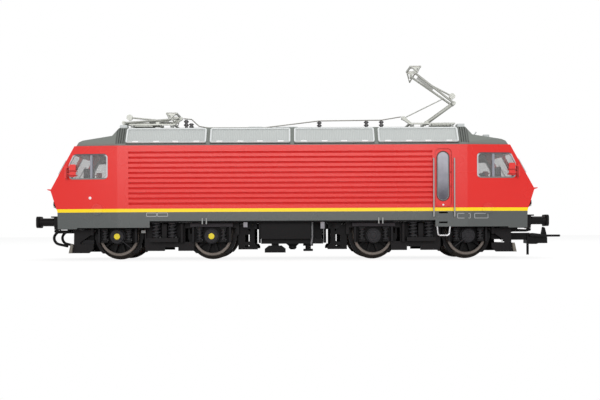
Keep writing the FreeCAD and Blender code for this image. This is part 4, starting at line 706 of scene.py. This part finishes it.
for number, way in BOGIES.items():
    rims, caps, marks, plates = forms(4)
    for low, high in solids_of(f"bogie_{number}_axle_covers"):
        side, centre = side_of(low, high), (low + high) / 2
        out = (0, side, 0)
        at = Vector((centre.x, side * face_of(low, high), centre.z))
        radius = (high.x - low.x) / 2 - RIM_IN
        lathe(rims, rows(RIM_ROWS, MM, radius), at, out, 40)
        lathe(marks if side == way else caps, rows(CAP_ROWS, CAP_RISE, CAP_R), at, out)
        for k in range(BOLTS):
            turn = math.tau * (k + 0.5) / BOLTS
            spoke = Vector((math.cos(turn), 0, math.sin(turn))) * BOLT_RING * radius
            lathe(rims, rows(BOLT_ROWS, MM, MM), at + spoke, out, 6)
    block(plates, span(way, *SIDE_PLATE_X), span(way, *SIDE_PLATE_Y), SIDE_PLATE_Z, 0.08 * MM)
    body = f"bogie_{number}"
    piece(f"cover_rims_{number}", rims, "cover", body)
    piece(f"cover_caps_{number}", caps, "cover", body)
    piece(f"painted_caps_{number}", marks, "yellow", body)
    piece(f"side_plate_{number}", plates, "frame", body)

# %% [markdown]
# ## Ledges, posts, brackets and sensor cables of the bogies
# A ledge runs over each inner wheel, and two upright posts stand beside every axle cover. The outer
# axles carry a thin cable from the cover down to the frame. A bracket stands at each bogie's inner end,
# and one more closes the gap in the rail guard behind the hoses. They are plain bars and a bent wire,
# so blocks with broken edges and the tube helper are enough.

# %% Ledges, posts and cables
PIVOT_X, SIDE_FACE = mm(45.0, 11.7)
LEDGE_HALF, LEDGE_Z, LEDGE_OUT = 7.6 * MM, mm(10.35, 11.75), 1.5 * MM
POST_AT, POST_HALF, POST_FOOT, POST_TOP, POST_OUT = mm(6.55, 0.4, 4.9, 9.9, 1.0)
CABLE_R, CABLE_OFF = mm(0.2, 0.25)
CABLE_PATH = [(1.0, 0.0, 6.2), (1.9, 0.05, 5.5), (3.3, -0.4, 4.3), (4.7, -1.2, 3.1)]
BRACKET = mm(12.65, 17.5), mm(9.75, 10.45), mm(9.6, 11.85)
GUARD = mm(71.0, 76.0), mm(10.15, 10.35), mm(3.6, 5.9)

for number, way in BOGIES.items():
    ledges, cables, posts = forms(3)
    for low, high in solids_of(f"bogie_{number}_axle_covers"):
        side, axle = side_of(low, high), (low.x + high.x) / 2
        inner = abs(axle) < PIVOT_X
        depth, top = span(side, SIDE_FACE, SIDE_FACE + POST_OUT), LEDGE_Z[0] if inner else POST_TOP
        for x in (axle - POST_AT, axle + POST_AT):
            block(posts, (x - POST_HALF, x + POST_HALF), depth, (POST_FOOT, top), 0.1 * MM)
        if inner:
            depth = span(side, SIDE_FACE, SIDE_FACE + LEDGE_OUT)
            block(ledges, (axle - LEDGE_HALF, axle + LEDGE_HALF), depth, LEDGE_Z, 0.15 * MM)
        else:
            start = Vector((axle, side * (face_of(low, high) + CABLE_OFF), 0))
            path = [start + Vector((-way * a, side * b, c)) * MM for a, b, c in CABLE_PATH]
            tube(cables, path, CABLE_R)
    for side in (-1, 1):
        x, y, z = BRACKET
        block(posts, span(way, *x), span(side, *y), z, 0.1 * MM)
        if number == 2:
            x, y, z = GUARD
            block(posts, span(way, *x), span(side, *y), z, 0.05 * MM)
    piece(f"bogie_ledges_{number}", ledges, "ledge", f"bogie_{number}")
    piece(f"bogie_posts_{number}", posts, "post", f"bogie_{number}")
    piece(f"sensor_cables_{number}", cables, "coil", f"bogie_{number}")

# %% [markdown]
# ## Hose sleeves
# The brake hoses at the end without a coupler are rubber, thicker than the wire inside. The sleeve is
# the frame's own hose, moved out along its normals by the rubber's thickness.

# %% Hoses
RUBBER = 0.13 * MM
sleeves = bmesh.new()
sleeves.from_mesh(nodes["brake_hoses"].data)
bmesh.ops.remove_doubles(sleeves, verts=sleeves.verts, dist=WELD)
sleeves.normal_update()
for vert, normal in [(v, v.normal.copy()) for v in sleeves.verts]:
    vert.co += normal * RUBBER
piece("hose_sleeves", sleeves, "black", "root")

# %% [markdown]
# ## Roof panels
# The louvre panels are held down by small clips along their lower edge, and a dark strip of painted
# shade runs under them. Clips and strip lie on the sloping side of the roof, so both are made flat and
# then laid on the slope, which the frame's own panels give.

# %% Clips and shade strips
CLIP_SHARES = (0.12, 0.38, 0.62, 0.88)
CLIP_LONG, CLIP_HIGH, CLIP_RISE, CLIP_UP = mm(2.1, 0.55, 0.2, 0.2)
SHADE_STRIP_HIGH, SHADE_STRIP_HALF, SHADE_STRIP_SUNK = mm(0.32, 0.05, 0.42)


def laid(form, x, y, z, edge, lean, spot):
    """A block made level, leaned over and moved to its spot."""
    before = len(form.verts)
    block(form, x, y, z, edge)
    verts = form.verts[:][before:]
    bmesh.ops.rotate(form, verts=verts, cent=ORIGIN, matrix=lean)
    bmesh.ops.translate(form, verts=verts, vec=spot)


clips, shade_strips = forms(2)
for low, high in solids_of("roof_grilles"):
    side, half = side_of(low, high), (high.x - low.x) / 2
    foot = Vector((low.x, side * face_of(low, high), low.z))
    slope = Vector((low.x, side * min(abs(low.y), abs(high.y)), high.z)) - foot
    tilt = math.atan2(slope.z, -side * slope.y)
    lean = Matrix.Rotation(side * (math.pi / 2 - tilt), 3, "X")
    on_slope = foot + slope.normalized() * CLIP_UP
    for share in CLIP_SHARES:
        laid(clips, (-CLIP_LONG / 2, CLIP_LONG / 2), (-CLIP_RISE, CLIP_RISE), (0, CLIP_HIGH), 0.12 * MM,
             lean, on_slope + Vector((2 * half * share, 0, 0)))
    # Painted shade: a near black strip sunk just under each panel's lower edge.
    inward = Vector((0, -side * slope.z, -slope.y)).normalized()
    laid(shade_strips, (-half, half), (-SHADE_STRIP_HALF, SHADE_STRIP_HALF), (-SHADE_STRIP_HIGH, 0), 0.02 * MM,
         lean, foot + Vector((half, 0, 0)) + inward * SHADE_STRIP_SUNK)
piece("panel_clips", clips, "white", "root")
piece("panel_gaps", shade_strips, "shadow", "root")

# %% [markdown]
# ## Trim on the sides
# The door's pane sits in a rubber seal with a dark gasket round it, and a fine seam marks the door.
# Near it are two small locks and a white lamp, and another small lamp sits below the cab window. Thin
# pale frames on the skirt mark plates, which this model leaves blank. The far side carries the same
# pieces turned half round.

# %% Seals, locks, lamps and blank plates
LAMP_ROWS = [(-0.2, 1.0), (0.1, 1.0), (0.2, 0.8), (0.26, 0.4), (0.27, 0.0)]
DOOR_RECESS = 0.36 * MM
DOOR_LOW, DOOR_HIGH, DOOR_CORNER = mm(49.65, 16.9), mm(55.6, 37.45), 1.5 * MM
LOCKS = [(55.3, 29.1, 0.28), (55.3, 24.2, 0.28)]
LAMPS = [(52.6, 17.75, 0.36), (-70.7, 20.6, 0.5)]
LEFT_Z, RIGHT_Z = (14.0, 15.35), (13.0, 14.8)
BLANK_PLATES = [((-50.9, -47.3), LEFT_Z), ((-47.1, -43.4), LEFT_Z),
                ((57.4, 62.0), RIGHT_Z), ((63.4, 68.3), RIGHT_Z)]


def narrower(x):
    """How far the near side draws in at a distance from the middle."""
    return max(abs(x) - TAPER_X, 0.0) * TAPER


def around(form, low, high, grow, width, proud):
    """A frame that follows a pane with round ends, a little outside it."""
    corners = (low.x - grow, low.z - grow), (high.x + grow, high.z + grow)
    radius = (high.x - low.x) / 2 + grow
    border(form, *corners, radius, width, low.y - proud, low.y + 0.1 * MM)


def button(form, x, z, radius, depth, steps):
    """A low round button on the near side."""
    spot = (x * MM, -HALF_W + depth, z * MM)
    lathe(form, rows(LAMP_ROWS, MM, radius * MM), spot, (0, -1, 0), steps)


side_trim = seals, gaskets, seams, locks, lamps, frames = forms(6)
low, high = next(solid for solid in solids_of("door_glass") if side_of(*solid) < 0)
around(seals, low, high, *mm(0.06, 0.2, 0.1))
around(gaskets, low, high, *mm(0.3, 0.24, 0.2))
border(seams, DOOR_LOW, DOOR_HIGH, DOOR_CORNER, 0.2 * MM, -HALF_W - 0.02 * MM, -HALF_W + 0.2 * MM)
for x, z, radius in LOCKS:
    button(locks, x, z, radius, DOOR_RECESS, 16)
for x, z, radius in LAMPS:
    button(lamps, x, z, radius, DOOR_RECESS if x > 0 else narrower(x * MM), 20)
for x, z in BLANK_PLATES:
    (x0, x1), (z0, z1) = mm(*x), mm(*z)
    border(frames, (x0, z0), (x1, z1), 0.3 * MM, 0.16 * MM,
           -HALF_W - 0.03 * MM, -HALF_W + 0.05 * MM, narrower)
for form in side_trim:
    half_turned(form)
piece("door_seals", seals, "frame", "root")
piece("door_gaskets", gaskets, "shadow", "root")
piece("door_seams", seams, "seam", "root")
piece("door_locks", locks, "dark_red", "root")
piece("marker_lamps", lamps, "white", "root")
piece("blank_plates", frames, "plate", "root")

# %% [markdown]
# ## Mirror brackets and cab fittings
# Each mirror hangs on two short bars from an upright rod, all painted in the body's red. Behind the
# glass, a black instrument console stands on each desk. Bars and rod are tubes, as bent wire is round.

# %% Brackets and consoles
ROD_X, ROD_Z, ROD_R = 78.6 * MM, mm(27.2, 31.0), 0.32 * MM
ARM_TIP, ARMS_Z, ARM_R = 75.0 * MM, mm(28.4, 30.0), 0.24 * MM
mirror_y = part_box("side_mirrors")[0].y + 0.1 * MM
brackets, consoles = forms(2)
for way in (1, -1):
    tube(brackets, [Vector((way * ROD_X, mirror_y, z)) for z in ROD_Z], ROD_R, (0, 1, 0))
    for z in ARMS_Z:
        tube(brackets, [Vector((way * x, mirror_y, z)) for x in (ROD_X, ARM_TIP)], ARM_R)
block(consoles, mm(75.7, 77.3), mm(-1.9, 1.9), mm(26.4, 32.3), 0.3 * MM)
half_turned(brackets)
half_turned(consoles)
piece("mirror_brackets", brackets, "dark_red", "root")
piece("desk_consoles", consoles, "console", "root")

# %% [markdown]
# ## Lamps at the ends and tabs below the floor
# The lamp housings hold round lenses, two in a wide one and one in a narrow one, which a profile of a
# shallow dome gives. Below the floor, small bright tabs hang beside the transformer box.

# %% Lenses and tabs
LENS_ROWS = [(-0.5, 1.0), (0.0, 1.0), (0.0, 0.86), (0.05, 0.6), (0.08, 0.0)]
SWEEP, LENS_SHARE, LENS_SUNK = math.tan(math.radians(9)), 0.36, 0.02 * MM
TAB_WIDE, TAB_TOP = 1.4, 12.4
lenses, tabs = forms(2)
for low, high in solids_of("headlamps"):
    end, side = math.copysign(1, low.x + high.x), side_of(low, high)
    wide, tall = high.y - low.y, high.z - low.z
    front = max(abs(low.x), abs(high.x)) - LENS_SUNK
    double = wide > 1.5 * tall
    inner = min(abs(low.y), abs(high.y))
    for share in ((0.27, 0.73) if double else (0.5,)):
        across = share * wide
        y = side * (inner + across) if double else (low.y + high.y) / 2
        x = end * (front - (SWEEP * across if double else 0.0))
        radius = LENS_SHARE * min(tall, wide / 2 if double else wide)
        spot = (x, y, (low.z + high.z) / 2)
        lathe(lenses, rows(LENS_ROWS, MM, radius), spot, (end, 0, 0), 24)
for x, foot in ((10.5, 9.6), (-16.5, 10.2)):
    half, quarter = TAB_WIDE / 2, TAB_WIDE / 4
    block(tabs, mm(x - half, x + half), mm(-15.6, -15.2), mm(foot, TAB_TOP), 0.08 * MM)
    block(tabs, mm(x - quarter, x + quarter), mm(-15.5, -15.3), mm(TAB_TOP - 0.1, 15.95), 0.05 * MM)
half_turned(tabs)
piece("lamp_lenses", lenses, "lens", "root")
piece("floor_tabs", tabs, "tab", "root")

# %% [markdown]
# ## Collector bars
# The two contact strips of each pantograph's head are joined at their ends by a short bar of dull
# metal, which gives the head its flat top from the side. It rides on the head, so it rises with it.

# %% Bars
BAR_IN, BAR_TALL, BAR_HALF, BAR_AT, BAR_DOWN = mm(0.35, 0.42, 0.18, 4.42, 0.02)
for number in BOGIES:
    bars = bmesh.new()
    low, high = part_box(f"pantograph_{number}_head")
    for y in (-BAR_AT, BAR_AT):
        block(bars, (low.x + BAR_IN, high.x - BAR_IN), (y - BAR_HALF, y + BAR_HALF),
              (high.z - BAR_TALL, high.z - BAR_DOWN), 0.05 * MM)
    piece(f"collector_bars_{number}", bars, "line", f"pantograph_{number}_head")

# %% [markdown]
# ## Ducts and ribs below the floor
# A dark duct runs along the inside of each skirt, just proud of its lower edge, and upright ribs
# stiffen the transformer box where it meets the bogies. Both are straight mouldings, so they are
# blocks, kept clear of the bogies when these turn.

# %% Ducts and ribs
SKIRT_DUCT, BOX_RIB, BOX_DUCT, END_DUCT = (-15.95, -15.55), (-13.3, -12.3), (-13.4, -12.4), (-14.1, -13.7)
DUCTS = [
    ((-58.0, 49.0), SKIRT_DUCT, (11.95, 12.9), 0.05),
    ((-12.0, -11.25), BOX_RIB, (4.6, 12.6), 0.08), ((10.95, 11.9), BOX_RIB, (4.6, 12.6), 0.08),
    ((-17.3, -11.3), BOX_DUCT, (11.95, 12.9), 0.08), ((10.9, 17.3), BOX_DUCT, (11.95, 12.9), 0.08),
    ((73.0, 84.0), END_DUCT, (9.6, 10.6), 0.05), ((-84.0, -73.0), END_DUCT, (9.6, 10.6), 0.05),
]
ducts = bmesh.new()
for x, y, z, edge in DUCTS:
    block(ducts, mm(*x), mm(*y), mm(*z), edge * MM)
half_turned(ducts)
piece("floor_ducts", ducts, "black", "root")

# %% [markdown]
# ## Studio
# The model stands on a white sheet in soft light. A wide soft box in front lays an even sheen over the
# long flat side; the cab sides turn away from it, and so look deeper. The sheet and the world show
# white to the camera, and the sheet keeps a faint shadow under the wheels.

# %% Floor, world and lights
FLOOR_Z = cad_low.z
SHEET_SIZE = 8.0
SHEET_GREY, SHEET_GLOW, GLOW_SHARE = 0.86, 1.06, 0.8
ROOM_LIGHT = 0.62
AIM = (0, 0, 0.03)


def sheet_finish():
    finish = Finish("white_sheet", Roughness=0.9, Base_Color=grey(SHEET_GREY), Specular_IOR_Level=0.1)
    seen = finish.add("ShaderNodeLightPath", {}, {}, "Is Camera Ray")
    glow = finish.add("ShaderNodeEmission", {}, {"Color": grey(1.0), "Strength": SHEET_GLOW})
    mixed = finish.add("ShaderNodeMixShader", {}, {0: seen * GLOW_SHARE, 1: finish.shader, 2: glow})
    finish.tree.links.new(mixed.socket, finish.out.inputs["Surface"])
    return finish.material


def studio_floor():
    mesh = bpy.data.meshes.new("studio_floor")
    form = bmesh.new()
    bmesh.ops.create_grid(form, x_segments=1, y_segments=1, size=SHEET_SIZE / 2)
    bmesh.ops.translate(form, verts=form.verts, vec=(0, 0, FLOOR_Z))
    form.to_mesh(mesh)
    form.free()
    floor = bpy.data.objects.new("studio_floor", mesh)
    bpy.context.scene.collection.objects.link(floor)
    floor.data.materials.append(sheet_finish())


def studio_world():
    """White to the camera, also through the panes, and a softer light for everything else."""
    world = bpy.data.worlds.new("studio")
    bpy.context.scene.world = world
    world.use_nodes = True
    tree = world.node_tree
    tree.nodes.clear()
    out, room, seen, path, either, mix = (tree.nodes.new("ShaderNode" + kind) for kind in (
        "OutputWorld", "Background", "Background", "LightPath", "Math", "MixShader"))
    room.inputs["Color"].default_value = grey(1.0)
    room.inputs["Strength"].default_value = ROOM_LIGHT
    seen.inputs["Color"].default_value = grey(1.0)
    either.operation = "MAXIMUM"
    tree.links.new(path.outputs["Is Camera Ray"], either.inputs[0])
    tree.links.new(path.outputs["Is Transmission Ray"], either.inputs[1])
    for i, source in enumerate((either, room, seen)):
        tree.links.new(source.outputs[0], mix.inputs[i])
    tree.links.new(mix.outputs[0], out.inputs["Surface"])


def soft_box(name, place, width, height, power):
    lamp = bpy.data.lights.new(name, "AREA")
    lamp.shape = "RECTANGLE"
    lamp.size, lamp.size_y, lamp.energy = width, height, power
    box = bpy.data.objects.new(name, lamp)
    box.location = place
    box.rotation_euler = (Vector(AIM) - Vector(place)).to_track_quat("-Z", "Y").to_euler()
    bpy.context.scene.collection.objects.link(box)


studio_floor()
studio_world()
soft_box("front_box", (-0.045, -0.75, 0.235), 0.62, 0.3, 2.1)
soft_box("top_box", (0.1, 0.1, 0.8), 0.7, 0.5, 3.0)

# %% [markdown]
# ## Camera
# The view is square on to the side, from close by: the lens is level with the axles, so the
# vehicle shows a little of its far wheels and nothing of its roof. The view is framed by shifting
# the lens instead of tilting it, which keeps the upright edges upright.

# %% Camera
CAMERA_PLACE = (0.0, -0.262, 0.0075)
LENS, SENSOR, SHIFT_X, SHIFT_Y = 42.2, 36.0, 0.01233, 0.0579
LEVEL, ROLL = math.radians(90), math.radians(0.235)
camera = bpy.data.cameras.new("camera")
camera.lens, camera.sensor_width = LENS, SENSOR
camera.shift_x, camera.shift_y = SHIFT_X, SHIFT_Y
camera_object = bpy.data.objects.new("camera", camera)
camera_object.location = CAMERA_PLACE
turned = Matrix.Rotation(ROLL, 3, "Y") @ Matrix.Rotation(LEVEL, 3, "X")
camera_object.rotation_euler = turned.to_euler()
bpy.context.scene.collection.objects.link(camera_object)
bpy.context.scene.camera = camera_object
bpy.context.scene.view_settings.view_transform = "Standard"
